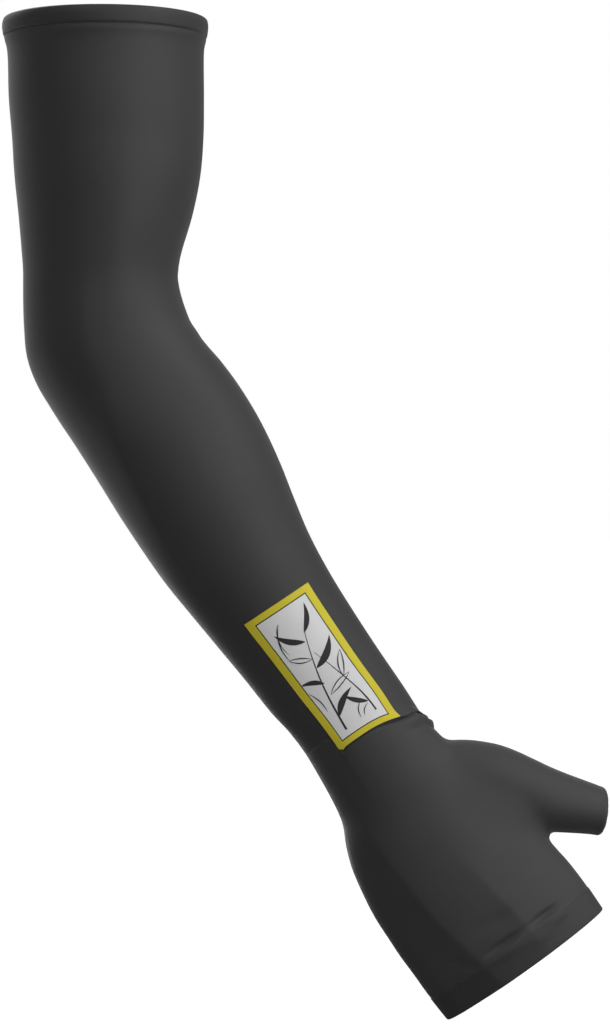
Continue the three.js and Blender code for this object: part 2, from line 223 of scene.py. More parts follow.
# Soft forms of the arm under the tube: muscle, inner elbow, and the bone's corner at the outer elbow
ARM_FOLDS = (
    Fold(at=62, angle=72, length=11, width=26, turn=0, height=-0.6),
    Fold(at=115, angle=74, length=30, width=10, turn=0, height=0.7),
    Fold(at=148, angle=100, length=30, width=9, turn=8, height=0.6, crest=2.0),
    Fold(at=195, angle=114, length=18, width=11, turn=24, height=1.3, crest=2.5),
    Fold(at=242, angle=128, length=40, width=12, turn=8, height=1.8, crest=3.0),
)

# Hand bones under the cover, and puckers above the knuckle hem's seam
HAND_FOLDS = (
    Fold(at=437, angle=126.4, length=30, width=9, turn=-15, height=0.9, crest=1.0),
    Fold(at=500, angle=110.7, length=50, width=11, turn=-6.5, height=1.5, crest=0.8),
    Fold(at=505, angle=128.6, length=60, width=12, turn=-4, height=-1.2),
    Fold(at=505, angle=79.4, length=36, width=10, turn=-6.5, height=1.1, crest=0.8),
    Fold(at=506, angle=88.1, length=3.5, width=9, turn=0, height=-0.7),
    Fold(at=517, angle=92.5, length=1.6, width=7.5, turn=0, height=-1.7),
    Fold(at=517.5, angle=64.4, length=1.6, width=8, turn=1, height=-1.6),
    Fold(at=512, angle=120, length=2, width=4, turn=0, height=-0.7),
    Fold(at=518, angle=113.5, length=2, width=4, turn=0, height=-0.7),
    Fold(at=522, angle=91.4, length=2.6, width=9, turn=0, height=0.8),
    Fold(at=526, angle=71.3, length=2.6, width=7, turn=0, height=0.5),
    Fold(at=522.5, angle=58.5, length=2.6, width=8, turn=0, height=0.8),
)


def smooth_values(knots: np.ndarray, values: np.ndarray, at: np.ndarray) -> np.ndarray:
    """Runs a cubic through rows of values, with slopes taken from their neighbours.

    Args:
        knots: where each row lies, ascending.
        values: one row of numbers for each knot.
        at: where the values are wanted.

    Returns:
        One row of numbers for each place in at.
    """
    before = np.maximum(np.arange(len(knots)) - 1, 0)
    after = np.minimum(np.arange(len(knots)) + 1, len(knots) - 1)
    slopes = (values[after] - values[before]) / (knots[after] - knots[before])[:, None]
    i = np.clip(np.searchsorted(knots, at) - 1, 0, len(knots) - 2)
    gap = (knots[i + 1] - knots[i])[:, None]
    t = np.clip((at - knots[i])[:, None] / gap, 0, 1)
    near = (1 + 2 * t) * (1 - t) ** 2 * values[i] + t * (1 - t) ** 2 * gap * slopes[i]
    far = t * t * (3 - 2 * t) * values[i + 1] - t * t * (1 - t) * gap * slopes[i + 1]
    return near + far


def smooth_step(value: np.ndarray, low: float, high: float) -> np.ndarray:
    """Rises from 0 at low to 1 at high, with level ends."""
    share = np.clip((value - low) / (high - low), 0, 1)
    return share * share * (3 - 2 * share)


@dataclass(frozen=True)
class Outline:
    """Section values at a row of places: half sizes, lean, cup and squareness."""

    half_width: np.ndarray
    half_depth: np.ndarray
    lean: np.ndarray
    cup: np.ndarray
    square: np.ndarray

    def points(self, angle: np.ndarray, inset: np.ndarray) -> tuple[np.ndarray, ...]:
        """Works out points of the outline.

        Args:
            angle: turn round the section, 0 at the thumb's side and a quarter turn at -Y.
            inset: how far each point lies inside the outer face.

        Returns:
            x across the section, y through it, and the share of the half width across.
        """
        across = self.bent(np.cos(angle))
        x = self.lean + (self.half_width - inset) * across
        y = -(self.half_depth - inset) * self.bent(np.sin(angle)) + self.cup * across**2
        return x, y, across

    def bent(self, wave: np.ndarray) -> np.ndarray:
        """A cosine or sine, squared up as the outline is."""
        return np.sign(wave) * np.abs(wave) ** (2 / self.square)


class Sections:
    """A table of sections, laid smoothly along a stretch."""

    def __init__(self, stretches: Sequence[tuple[Sequence[Section], float, float]]) -> None:
        """Places the tables' rows.

        Args:
            stretches: each table, with the start and end of its stretch.
        """
        knots = []
        rows = []
        for table, start, end in stretches:
            for row in table:
                width, depth = row.girth.value
                knots.append(start + row.along * (end - start))
                half_sizes = (row.width * width / 2, row.depth * depth / 2)
                rows.append((*half_sizes, row.lean * width, row.cup * depth, row.square))
        self.knots = np.array(knots)
        self.rows = np.array(rows)

    def outline(self, at: np.ndarray) -> Outline:
        """The outline at each place along the stretch."""
        return Outline(*smooth_values(self.knots, self.rows, np.atleast_1d(at)).T)


class Workbench:
    """Modelling moves on the mesh at hand, made with Blender's own operators."""

    @staticmethod
    def clear() -> None:
        """Leaves edit mode and deselects every object."""
        if bpy.context.mode != "OBJECT":
            bpy.ops.object.mode_set(mode="OBJECT")
        bpy.ops.object.select_all(action="DESELECT")

    @staticmethod
    def take(piece: bpy.types.Object) -> None:
        """Makes a piece the only selected and the active object.

        Args:
            piece: the piece to work on.
        """
        Workbench.clear()
        piece.select_set(True)
        bpy.context.view_layer.objects.active = piece

    @staticmethod
    def points(piece: bpy.types.Object) -> np.ndarray:
        """The places of a piece's vertices, one row each.

        Args:
            piece: the piece to work on.

        Returns:
            The vertices' coordinates.
        """
        places = np.empty(len(piece.data.vertices) * 3)
        piece.data.vertices.foreach_get("co", places)
        return places.reshape(-1, 3)

    @staticmethod
    def normals(piece: bpy.types.Object) -> np.ndarray:
        """The directions that a piece's vertices face, one row each.

        Args:
            piece: the piece to work on.

        Returns:
            The vertices' normals.
        """
        directions = np.empty(len(piece.data.vertices) * 3)
        piece.data.vertex_normals.foreach_get("vector", directions)
        return directions.reshape(-1, 3)

    @staticmethod
    def shape(piece: bpy.types.Object, places: np.ndarray) -> None:
        """Moves a piece's vertices to new places, as a sculptor does."""
        piece.data.vertices.foreach_set("co", places.ravel())
        piece.data.update()

    @staticmethod
    def choose(piece: bpy.types.Object, chosen: np.ndarray) -> None:
        """Selects vertices of a piece, and what lies wholly between them, in edit mode.

        Args:
            piece: the piece to work on.
            chosen: for each vertex, whether it is selected.
        """
        Workbench.take(piece)
        piece.data.edges.foreach_set("select", np.zeros(len(piece.data.edges), bool))
        piece.data.polygons.foreach_set("select", np.zeros(len(piece.data.polygons), bool))
        piece.data.vertices.foreach_set("select", chosen)
        bpy.ops.object.mode_set(mode="EDIT")
        bpy.ops.mesh.select_mode(type="VERT")

    @staticmethod
    def modify(piece: bpy.types.Object, kind: str, **settings: object) -> None:
        """Adds a modifier with its settings and applies it.

        Args:
            piece: the piece to work on.
            kind: the modifier's type.
            settings: its properties, by name.
        """
        Workbench.take(piece)
        bpy.ops.object.modifier_add(type=kind)
        modifier = piece.modifiers[-1]
        for name, value in settings.items():
            setattr(modifier, name, value)
        bpy.ops.object.modifier_apply(modifier=modifier.name)

    @staticmethod
    def face_out(piece: bpy.types.Object) -> None:
        """Turns every face of a piece outwards, also where the piece is open.

        Args:
            piece: the piece to work on.
        """
        Workbench.choose(piece, np.ones(len(piece.data.vertices), bool))
        bpy.ops.mesh.normals_make_consistent(inside=False)
        bpy.ops.object.mode_set(mode="OBJECT")
        faces = piece.data.polygons
        middles = np.array([face.center for face in faces])
        directions = np.array([face.normal * face.area for face in faces])
        if ((middles - middles.mean(axis=0)) * directions).sum() < 0:
            Workbench.choose(piece, np.ones(len(piece.data.vertices), bool))
            bpy.ops.mesh.flip_normals()
        Workbench.clear()

    @staticmethod
    def thicken(piece: bpy.types.Object, wall: float, rim_bevel: float) -> None:
        """Gives an open skin its wall, grown inwards, and rounds the wall's rims.

        Args:
            piece: the open skin, with its faces outwards.
            wall: the wall's thickness.
            rim_bevel: the width of the rims' rounded corners.
        """
        Workbench.modify(piece, "SOLIDIFY", thickness=wall, offset=-1, use_even_offset=True)
        corners = {"limit_method": "ANGLE", "angle_limit": RIM_CORNER}
        Workbench.modify(piece, "BEVEL", width=rim_bevel, segments=2, **corners)

    @staticmethod
    def loft(
        name: str, stations: np.ndarray, outline: Outline, sides: int, ends: bool
    ) -> bpy.types.Object:
        """Raises a tube downwards, ring by ring.

        Args:
            name: the piece's name.
            stations: the distance of each ring below the origin.
            outline: the half sizes and leans of the rings.
            sides: the number of points round a ring.
            ends: whether flat faces close the tube's ends.

        Returns:
            The tube, in object mode, with its rings' vertices one ring after another.
        """
        Workbench.clear()
        first = (outline.lean[0], 0, -stations[0])
        bpy.ops.mesh.primitive_circle_add(vertices=sides, radius=1, location=first)
        piece = bpy.context.object
        piece.name = name
        bpy.ops.object.transform_apply(location=True, rotation=True, scale=True)
        bpy.ops.object.mode_set(mode="EDIT")
        bpy.ops.mesh.select_all(action="SELECT")
        sizes = np.column_stack([outline.half_width, outline.half_depth])
        growth = np.vstack([sizes[:1], sizes[1:] / sizes[:-1]])
        for i, (wider, deeper) in enumerate(growth):
            centre = (outline.lean[i], 0, -stations[i])
            if i > 0:
                step = (outline.lean[i] - outline.lean[i - 1], 0, stations[i - 1] - stations[i])
                bpy.ops.mesh.extrude_region_move(TRANSFORM_OT_translate={"value": step})
            bpy.ops.transform.resize(value=(wider, deeper, 1), center_override=centre)
        bpy.ops.object.mode_set(mode="OBJECT")
        if ends:
            for station in (stations[0], stations[-1]):
                rim = np.isclose(Workbench.points(piece)[:, 2], -station, atol=MM / 100)
                Workbench.choose(piece, rim)
                bpy.ops.mesh.edge_face_add()
                bpy.ops.object.mode_set(mode="OBJECT")
            Workbench.face_out(piece)
        return piece

    @staticmethod
    def flat_sheet(
        name: str, low: tuple[float, float], high: tuple[float, float], step: float
    ) -> bpy.types.Object:
        """Cuts a flat sheet into squares no larger than a step.

        Args:
            name: the piece's name.
            low: the sheet's lowest corner.
            high: its highest corner.
            step: the largest side of a square.

        Returns:
            The sheet, in object mode.
        """
        Workbench.clear()
        middle = [(a + b) / 2 for a, b in zip(low, high)]
        bpy.ops.mesh.primitive_plane_add(size=1, location=(*middle, 0))
        sheet = bpy.context.object
        sheet.name = name
        sheet.scale = (high[0] - low[0], high[1] - low[1], 1)
        bpy.ops.object.transform_apply(location=True, rotation=True, scale=True)
        for axis in (0, 1):
            count = math.ceil((high[axis] - low[axis]) / step)
            for cut in np.linspace(low[axis], high[axis], count + 1)[1:-1]:
                Workbench.slit(sheet, axis, cut)
        return sheet

    @staticmethod
    def drop_faces(piece: bpy.types.Object, chosen: np.ndarray) -> None:
        """Deletes the chosen faces of a piece.

        Args:
            piece: the piece to work on.
            chosen: for each face, whether it goes.
        """
        Workbench.choose(piece, np.zeros(len(piece.data.vertices), bool))
        bpy.ops.mesh.select_mode(type="FACE")
        bpy.ops.object.mode_set(mode="OBJECT")
        piece.data.polygons.foreach_set("select", chosen)
        bpy.ops.object.mode_set(mode="EDIT")
        bpy.ops.mesh.delete(type="FACE")
        bpy.ops.object.mode_set(mode="OBJECT")

    @staticmethod
    def slit(sheet: bpy.types.Object, axis: int, cut: float) -> None:
        """Adds a straight line of edges across a flat sheet.

        Args:
            sheet: the flat sheet.
            axis: 0 to cut at a place on x, 1 at one on y.
            cut: the place on that axis.
        """
        Workbench.choose(sheet, np.ones(len(sheet.data.vertices), bool))
        place = [0.0, 0.0, 0.0]
        direction = [0.0, 0.0, 0.0]
        place[axis] = cut
        direction[axis] = 1.0
        bpy.ops.mesh.bisect(plane_co=place, plane_no=direction)
        bpy.ops.object.mode_set(mode="OBJECT")


@dataclass
class ArmForm:
    """The worn arm's shape, from the upper rim (0) to the knuckle rim, measured down its line."""

    upper_arm_length: float = 157.3 * MM
    forearm_length: float = 240.4 * MM
    hand_length: float = 139 * MM
    elbow_bend: float = math.radians(33.6)
    elbow_radius: float = 100 * MM
    elbow_steps: int = 24
    knuckle_slant: float = math.radians(1.9)
    upper_hem_height: float = 8.5 * MM
    knuckle_hem_height: float = 13.5 * MM
    edge_fade_up_arm: float = 45 * MM
    edge_fade_down_hand: float = 32 * MM
    flare: float = 1.5 * MM
    lip: float = 0.5 * MM
    flare_reach: float = 5 * MM
    flare_side: tuple[float, float] = (0.2, 0.75)
    lip_side: tuple[float, float] = (0.8, 1.0)
    elbow_start: float = field(init=False)
    elbow_end: float = field(init=False)
    wrist_edge: float = field(init=False)
    knuckle_rim: float = field(init=False)
    knuckle_hem_start: float = field(init=False)
    sections: Sections = field(init=False)

    def __post_init__(self) -> None:
        """Works out where each stretch starts and lays the sections along them."""
        tangent = self.elbow_radius * math.tan(self.elbow_bend / 2)
        arc = self.elbow_radius * self.elbow_bend
        self.elbow_start = self.upper_arm_length - tangent
        self.elbow_end = self.elbow_start + arc
        self.wrist_edge = self.elbow_end + self.forearm_length - tangent
        self.knuckle_rim = self.wrist_edge + self.hand_length
        self.knuckle_hem_start = self.knuckle_rim - self.knuckle_hem_height
        middle = self.elbow_start + arc / 2
        self.sections = Sections(
            (
                (UPPER_ARM_SECTIONS, 0.0, middle),
                (FOREARM_SECTIONS, middle, self.wrist_edge),
                (HAND_SECTIONS, self.wrist_edge, self.knuckle_rim),
            )
        )

    def skin(self, at: np.ndarray, angle: np.ndarray, inset: np.ndarray) -> np.ndarray:
        """Works out points of the straight arm's skin.

        Args:
            at: distance of each point down the arm's line.
            angle: turn round the arm, 0 at the thumb's side and a quarter turn at -Y.
            inset: how far the point lies inside the outer face.

        Returns:
            The points, one row each, before the elbow is bent.
        """
        outline = self.sections.outline(at)
        x, y, across = outline.points(angle, inset)
        on_hand = np.clip((at - self.wrist_edge) / self.hand_length, 0, 1)
        slant = -x * math.tan(self.knuckle_slant) * on_hand
        down = at + slant + self.edge_shift(at, angle, across)
        return np.column_stack([x, y, -down])

    def edge_shift(self, at: np.ndarray, angle: np.ndarray, across: np.ndarray) -> np.ndarray:
        """How far the wrist edge's uneven line moves points down the arm.

        Args:
            at: distance of each point down the arm's line.
            angle: turn of each point round the arm, 0 at the thumb's side.
            across: share of the half width at which each point lies.

        Returns:
            The shift of each point, fading out above and below the edge.
        """
        fade = np.where(at < self.wrist_edge, self.edge_fade_up_arm, self.edge_fade_down_hand)
        weight = smooth_step(1 - np.abs(at - self.wrist_edge) / fade, 0, 1)
        wrist_width = Girth.WRIST.value[0]
        shifts = []
        for rows in (WRIST_EDGE_OUTER_SIDE, WRIST_EDGE_INNER_SIDE):
            table = np.array(rows)
            shifts.append(smooth_values(table[:, 0], table[:, 1:] * wrist_width, across)[:, 0])
        return weight * np.where(np.sin(angle) > 0, *shifts)

    def wrist_flare(self, at: np.ndarray, angle: np.ndarray) -> np.ndarray:
        """How far the tube's wrist rim stands off the hand cover, most at the thumb's side.

        Args:
            at: distance of each point down the arm's line.
            angle: turn of each point round the arm, 0 at the thumb's side.

        Returns:
            The rise of each point.
        """
        thumbward = np.cos(angle)
        open_rim = smooth_step(at, self.wrist_edge - self.flare_reach, self.wrist_edge)
        rise = self.flare * smooth_step(thumbward, *self.flare_side)
        rise += self.lip * smooth_step(thumbward, *self.lip_side)
        return rise * open_rim

    def turn_round(self, places: np.ndarray, at: np.ndarray) -> np.ndarray:
        """The turn round the arm at which each place of an oval ring lies.

        Args:
            places: points of plain oval rings, one row each.
            at: distance of each point down the arm's line.

        Returns:
            The turns.
        """
        outline = self.sections.outline(at)
        return np.arctan2(
            -places[:, 1] / outline.half_depth, (places[:, 0] - outline.lean) / outline.half_width
        )

    def turn_on_skin(self, places: np.ndarray, at: np.ndarray) -> np.ndarray:
        """The turn round the arm at which each place on the squared and cupped skin lies.

        Args:
            places: points on or near the straight arm's skin, one row each.
            at: distance of each point down the arm's line.

        Returns:
            The turns.
        """
        outline = self.sections.outline(at)
        across = np.clip((places[:, 0] - outline.lean) / outline.half_width, -1, 1)
        through = (outline.cup * across**2 - places[:, 1]) / outline.half_depth
        cosine = np.sign(across) * np.abs(across) ** (outline.square / 2)
        sine = np.sign(through) * np.abs(through) ** (outline.square / 2)
        return np.arctan2(sine, cosine)

    def folds(self, at: np.ndarray, angle: np.ndarray, rows: Sequence[Fold]) -> np.ndarray:
        """How far a table's folds lift the cloth at each point.

        Args:
            at: distance of each point down the arm's line.
            angle: turn of each point round the arm, 0 at the thumb's side.
            rows: the table of folds.

        Returns:
            The lift of each point.
        """
        outline = self.sections.outline(at)
        lift = np.zeros(len(at))
        for row in rows:
            middle = math.radians(row.angle)
            wide, deep = outline.half_width * math.sin(middle), outline.half_depth * math.cos(middle)
            radius = np.hypot(wide, deep)
            along = at - row.at * MM
            across = np.arctan2(np.sin(angle - middle), np.cos(angle - middle)) * radius
            slant = math.radians(row.turn)
            u = along * math.cos(slant) + across * math.sin(slant)
            v = across * math.cos(slant) - along * math.sin(slant)
            aside = (v / (row.width * MM)) ** 2
            if row.crest > 0:
                aside = (np.hypot(v, row.crest * MM) - row.crest * MM) / (row.width * MM)
            lift += row.height * MM * np.exp(-((u / (row.length * MM)) ** 2) - aside)
        return lift

    def bend(self, piece: bpy.types.Object, at: np.ndarray) -> None:
        """Bends a straight piece at the elbow, a small turn at a time.

        Args:
            piece: the piece, modelled straight.
            at: how far down the arm's line each of its vertices belongs.
        """
        pivot = (self.elbow_radius, 0, -self.elbow_start)
        below_elbow = at.min() > self.elbow_end
        steps = 1 if below_elbow else self.elbow_steps
        turn = self.elbow_bend / steps
        length = self.elbow_radius * turn
        for k in range(steps):
            start = self.elbow_start + (k + 0.5) * length
            direction = k * turn
            back = (-length * math.sin(direction), 0, length * math.cos(direction))
            Workbench.choose(piece, at > start)
            bpy.ops.transform.translate(value=back)
            bpy.ops.transform.rotate(value=turn, orient_axis="Y", center_override=pivot)
            bpy.ops.object.mode_set(mode="OBJECT")
        Workbench.clear()


class NodeBoard:
    """A material's nodes, laid out and wired in code."""

    def __init__(self, name: str) -> None:
        """Starts a material that holds one Principled shader.

        Args:
            name: the material's name.
        """
        self.material = bpy.data.materials.new(name)
        self.material.use_nodes = True
        self.tree = self.material.node_tree
        self.shader = self.tree.nodes["Principled BSDF"]

    def node(self, kind: str, **settings: object) -> bpy.types.Node:
        """Adds a node and sets its properties.

        Args:
            kind: the node's type.
            settings: its properties, by name.

        Returns:
            The node.
        """
        made = self.tree.nodes.new(kind)
        for name, value in settings.items():
            setattr(made, name, value)
        return made

    def feed(self, socket: bpy.types.NodeSocket, value: object) -> None:
        """Wires another node's output to a socket, or sets a plain value on it.

        Args:
            socket: the input to feed.
            value: an output, or a plain value.
        """
        if isinstance(value, bpy.types.NodeSocket):
            self.tree.links.new(value, socket)
        else:
            socket.default_value = value

    def math(self, operation: str, *values: object) -> bpy.types.NodeSocket:
        """Adds a Math node.

        Args:
            operation: the node's operation.
            values: its inputs, outputs of nodes or numbers.

        Returns:
            The node's output.
        """
        made = self.node("ShaderNodeMath", operation=operation)
        for socket, value in zip(made.inputs, values):
            self.feed(socket, value)
        return made.outputs[0]

    def noise(self, scale: float, detail: float) -> bpy.types.NodeSocket:
        """Noise that is fixed to the piece, in its object coordinates.

        Args:
            scale: spots for each metre.
            detail: how many finer layers it has.

        Returns:
            The noise, from 0 to 1.
        """
        coordinates = self.node("ShaderNodeTexCoord")
        made = self.node("ShaderNodeTexNoise")
        self.feed(made.inputs["Vector"], coordinates.outputs["Object"])
        self.feed(made.inputs["Scale"], scale)
        self.feed(made.inputs["Detail"], detail)
        return made.outputs["Fac"]

    def mix(self, share: object, low: Sequence[float], high: Sequence[float]) -> bpy.types.NodeSocket:
        """Mixes two colours.

        Args:
            share: how much of the second colour shows.
            low: the first colour.
            high: the second colour.

        Returns:
            The mixed colour.
        """
        made = self.node("ShaderNodeMix", data_type="RGBA")
        self.feed(made.inputs["Factor"], share)
        self.feed(made.inputs["A"], (*low, 1.0))
        self.feed(made.inputs["B"], (*high, 1.0))
        return made.outputs["Result"]

    def emboss(self, height: bpy.types.NodeSocket, strength: float, depth: float) -> None:
        """Raises the surface by a height map, as bump.

        Args:
            height: the map's output, from 0 to 1.
            strength: how fully the bump shows.
            depth: how high 1 stands.
        """
        bump = self.node("ShaderNodeBump")
        self.feed(bump.inputs["Strength"], strength)
        self.feed(bump.inputs["Distance"], depth)
        self.feed(bump.inputs["Height"], height)
        self.set(Normal=bump.outputs[0])

    def set(self, **values: object) -> None:
        """Sets the shader's sockets, named with underscores for their spaces."""
        for name, value in values.items():
            self.feed(self.shader.inputs[name.replace("_", " ")], value)


@dataclass(frozen=True)
class KnitGauge:
    """The knit's fineness: the widths of a wale and of a course."""

    wale: float = 0.5 * MM
    course: float = 0.42 * MM
    leg_slant: float = 0.9
    loop_swing: float = 0.25

    def lay(
        self, piece: bpy.types.Object, around: np.ndarray, along: np.ndarray, girth: float = 300 * MM
    ) -> None:
        """Gives a piece its knit map, counted in wales across and courses along.

        Args:
            piece: the piece, whose vertices the next two describe.
            around: turn of each vertex round its tube, in radians.
            along: distance of each vertex along its tube.
            girth: the tube's girth where the knit lies as it was made.
        """
        wales = round(girth / self.wale)
        mesh = piece.data
        corners = np.empty(len(mesh.loops), int)
        mesh.loops.foreach_get("vertex_index", corners)
        sides = np.empty(len(mesh.polygons), int)
        mesh.polygons.foreach_get("loop_total", sides)
        starts = np.empty(len(mesh.polygons), int)
        mesh.polygons.foreach_get("loop_start", starts)
        first = np.repeat(around[corners[starts]], sides)
        turns = around[corners]
        turns += 2 * math.pi * np.round((first - turns) / (2 * math.pi))
        counted = np.column_stack([turns / (2 * math.pi) * wales, along[corners] / self.course])
        layer = mesh.uv_layers.new(name="knit") if not mesh.uv_layers else mesh.uv_layers[0]
        layer.uv.foreach_set("vector", counted.ravel())

    def relief(self, board: NodeBoard) -> bpy.types.NodeSocket:
        """The height of the knit's loops, from 0 between the wales to 1 on a loop.

        Args:
            board: the material's nodes.

        Returns:
            The height map's output.
        """
        place = board.node("ShaderNodeUVMap", uv_map="knit")
        split = board.node("ShaderNodeSeparateXYZ")
        board.feed(split.inputs[0], place.outputs[0])
        from_middle = board.math("SUBTRACT", board.math("FRACT", split.outputs["X"]), 0.5)
        off = board.math("ABSOLUTE", from_middle)
        slanted = board.math("MULTIPLY_ADD", off, self.leg_slant, split.outputs["Y"])
        loops = board.math("SINE", board.math("MULTIPLY", slanted, 2 * math.pi))
        off_squared = board.math("MULTIPLY", off, off)
        column = board.math("SUBTRACT", 1.0, board.math("MULTIPLY", off_squared, 4.0))
        swing = board.math("MULTIPLY_ADD", loops, self.loop_swing, 1 - self.loop_swing)
        return board.math("MULTIPLY", column, swing)


@dataclass(frozen=True)
class KnitFinish:
    """Fine stretch knit with a soft sheen; painted shade darkens its colour between the wales and
    lightens it on the loops.
    """

    name: str
    # hollow and crest are the dark and the light ends of the colour: painted shade takes the hollow
    # colour between the wales and the crest colour on the loops
    hollow: tuple[float, float, float]
    crest: tuple[float, float, float]
    roughness: float = 0.62
    sheen: float = 0.25
    sheen_roughness: float = 0.45
    specular: float = 0.4
    yarn_scale: float = 2400
    cloud_scale: float = 22
    unevenness: float = 0.5
    # How much painted shade darkens the hollows between the wales and lightens the loops
    loop_contrast: float = 0.35
    tone: float = 0.35
    relief_strength: float = 0.35
    relief_depth: float = 0.08 * MM
    gauge: KnitGauge = KnitGauge()

    def material(self) -> bpy.types.Material:
        """Makes the material.

        Returns:
            The material, new for each call.
        """
        board = NodeBoard(self.name)
        loops = self.gauge.relief(board)
        swing = (self.unevenness, -self.unevenness / 2)
        yarn = board.math("MULTIPLY_ADD", board.noise(self.yarn_scale, 2), *swing)
        cloudy = board.math("MULTIPLY_ADD", board.noise(self.cloud_scale, 3), *swing)
        uneven = board.math("ADD", yarn, cloudy)
        # Painted shade: the colour darkens in the knit's hollows and lightens on its loops, over the
        # knit's uneven tone
        shade = board.math("MULTIPLY_ADD", loops, self.loop_contrast, uneven)
        tone = board.math("ADD", shade, self.tone)
        board.set(
            Base_Color=board.mix(tone, self.hollow, self.crest),
            Roughness=self.roughness,
            Specular_IOR_Level=self.specular,
            Sheen_Weight=self.sheen,
            Sheen_Roughness=self.sheen_roughness,
        )
        board.emboss(loops, self.relief_strength, self.relief_depth)
        return board.material


@dataclass(frozen=True)
class PrintFinish:
    """Ink printed on the knit: matte, a little uneven, with the knit showing through."""

    name: str
    thin: tuple[float, float, float]
    full: tuple[float, float, float]
    roughness: float = 0.7
    specular: float = 0.3
    patch_scale: float = 60
    unevenness: float = 0.7
    least_cover: float = -0.1
    loop_contrast: float = 0.5
    relief_strength: float = 0.2
    relief_depth: float = 0.06 * MM
    gauge: KnitGauge = KnitGauge()

    def material(self) -> bpy.types.Material:
        """Makes the material.

        Returns:
            The material, new for each call.
        """
        board = NodeBoard(self.name)
        loops = self.gauge.relief(board)
        patches = board.noise(self.patch_scale, 4)
        uneven = board.math("MULTIPLY_ADD", patches, self.unevenness, self.least_cover)
        cover = board.math("MULTIPLY_ADD", loops, self.loop_contrast, uneven)
        board.set(
            Base_Color=board.mix(cover, self.thin, self.full),
            Roughness=self.roughness,
            Specular_IOR_Level=self.specular,
        )
        board.emboss(loops, self.relief_strength, self.relief_depth)
        return board.material


@dataclass(frozen=True)
class ThreadFinish:
    """Sewing thread: smooth and a little brighter than the cloth."""

    name: str = "charcoal_thread"
    dull: tuple[float, float, float] = (0.03, 0.03, 0.031)
    bright: tuple[float, float, float] = (0.06, 0.06, 0.062)
    roughness: float = 0.5
    sheen: float = 0.2
    fibre_scale: float = 1800

    def material(self) -> bpy.types.Material:
        """Makes the material.

        Returns:
            The material, new for each call.
        """
        board = NodeBoard(self.name)
        board.set(
            Base_Color=board.mix(board.noise(self.fibre_scale, 2), self.dull, self.bright),
            Roughness=self.roughness,
            Sheen_Weight=self.sheen,
        )
        return board.material


# Knit colours: painted shade takes the hollow colour between the wales and the crest colour on the
# loops; both ends also carry the knit's uneven tone
CLOTH = KnitFinish(
    "charcoal_stretch_knit", hollow=(0.026, 0.026, 0.0265), crest=(0.05, 0.05, 0.051)
)
HEM_CLOTH = KnitFinish(
    "double_hem_knit", hollow=(0.024, 0.024, 0.0245), crest=(0.046, 0.046, 0.047)
)
YELLOW_INK = PrintFinish("yellow_ink", thin=(0.62, 0.53, 0.03), full=(0.8, 0.7, 0.06))
PALE_INK = PrintFinish("pale_ink", thin=(0.72, 0.72, 0.725), full=(0.86, 0.86, 0.865))
BLACK_INK = PrintFinish("black_ink", thin=(0.028, 0.028, 0.029), full=(0.04, 0.04, 0.041))


def dress(piece: bpy.types.Object, material: bpy.types.Material) -> None:
    """Gives a finished piece its material, its smooth shading and its place on the body.

    Args:
        piece: the finished piece.
        material: its finish.
    """
    piece.data.materials.clear()
    piece.data.materials.append(material)
    Workbench.take(piece)
    bpy.ops.object.shade_smooth_by_angle(angle=SMOOTH_UNDER)
    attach(piece, BODY)
    log.info("%s: %d faces", piece.name, len(piece.data.polygons))


@dataclass
class ArmTube:
    """The tube over upper arm, elbow and forearm, down to the uneven edge at the wrist."""

    form: ArmForm
    start: float = 7.4 * MM
    pinch: float = 0.9 * MM
    pinch_level: float = 1.4 * MM
    pinch_reach: float = 3.6 * MM
    pinch_at_sides: float = 0.3
    pinch_off_sides: tuple[float, float] = (0.1, 0.6)
    wall: float = 0.8 * MM
    rim_bevel: float = 0.25 * MM
    around: int = 192
    ring_step: float = 4 * MM
    rim_step: float = 1.2 * MM
    rim_reach: float = 10 * MM

    def stations(self) -> np.ndarray:
        """Places the rings: close at both rims, and even round the elbow, where the tube bends.

        Returns:
            The distance of each ring down the arm's line.
        """
        form = self.form
        spans = (
            (self.start, self.start + self.rim_reach, self.rim_step),
            (self.start + self.rim_reach, form.elbow_start, self.ring_step),
            (form.elbow_start, form.elbow_end, (form.elbow_end - form.elbow_start) / form.elbow_steps),
            (form.elbow_end, form.wrist_edge - self.rim_reach, self.ring_step),
            (form.wrist_edge - self.rim_reach, form.wrist_edge, self.rim_step),
        )
        rows = [np.linspace(a, b, round((b - a) / step) + 1)[:-1] for a, b, step in spans]
        return np.concatenate([*rows, [form.wrist_edge]])

    def build(self, finish: bpy.types.Material) -> bpy.types.Object:
        """Models the tube and dresses it.

        Args:
            finish: the material to dress it in.

        Returns:
            The tube.
        """
        form = self.form
        stations = self.stations()
        outline = form.sections.outline(stations)
        tube = Workbench.loft("arm_tube_knit", stations, outline, self.around, ends=False)
        places = Workbench.points(tube)
        at = -places[:, 2]
        angle = form.turn_round(places, at)
        low = self.start + self.pinch_level
        pinched = self.pinch * (1 - smooth_step(at, low, self.start + self.pinch_reach))
        off_sides = smooth_step(np.abs(np.sin(angle)), *self.pinch_off_sides)
        pinched *= self.pinch_at_sides + (1 - self.pinch_at_sides) * off_sides
        lift = form.folds(at, angle, ARM_FOLDS) + form.wrist_flare(at, angle)
        Workbench.shape(tube, form.skin(at, angle, pinched - lift))
        KnitGauge().lay(tube, angle, at)
        form.bend(tube, at)
        Workbench.face_out(tube)
        Workbench.thicken(tube, self.wall, self.rim_bevel)
        dress(tube, finish)
        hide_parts("arm_tube")
        return tube


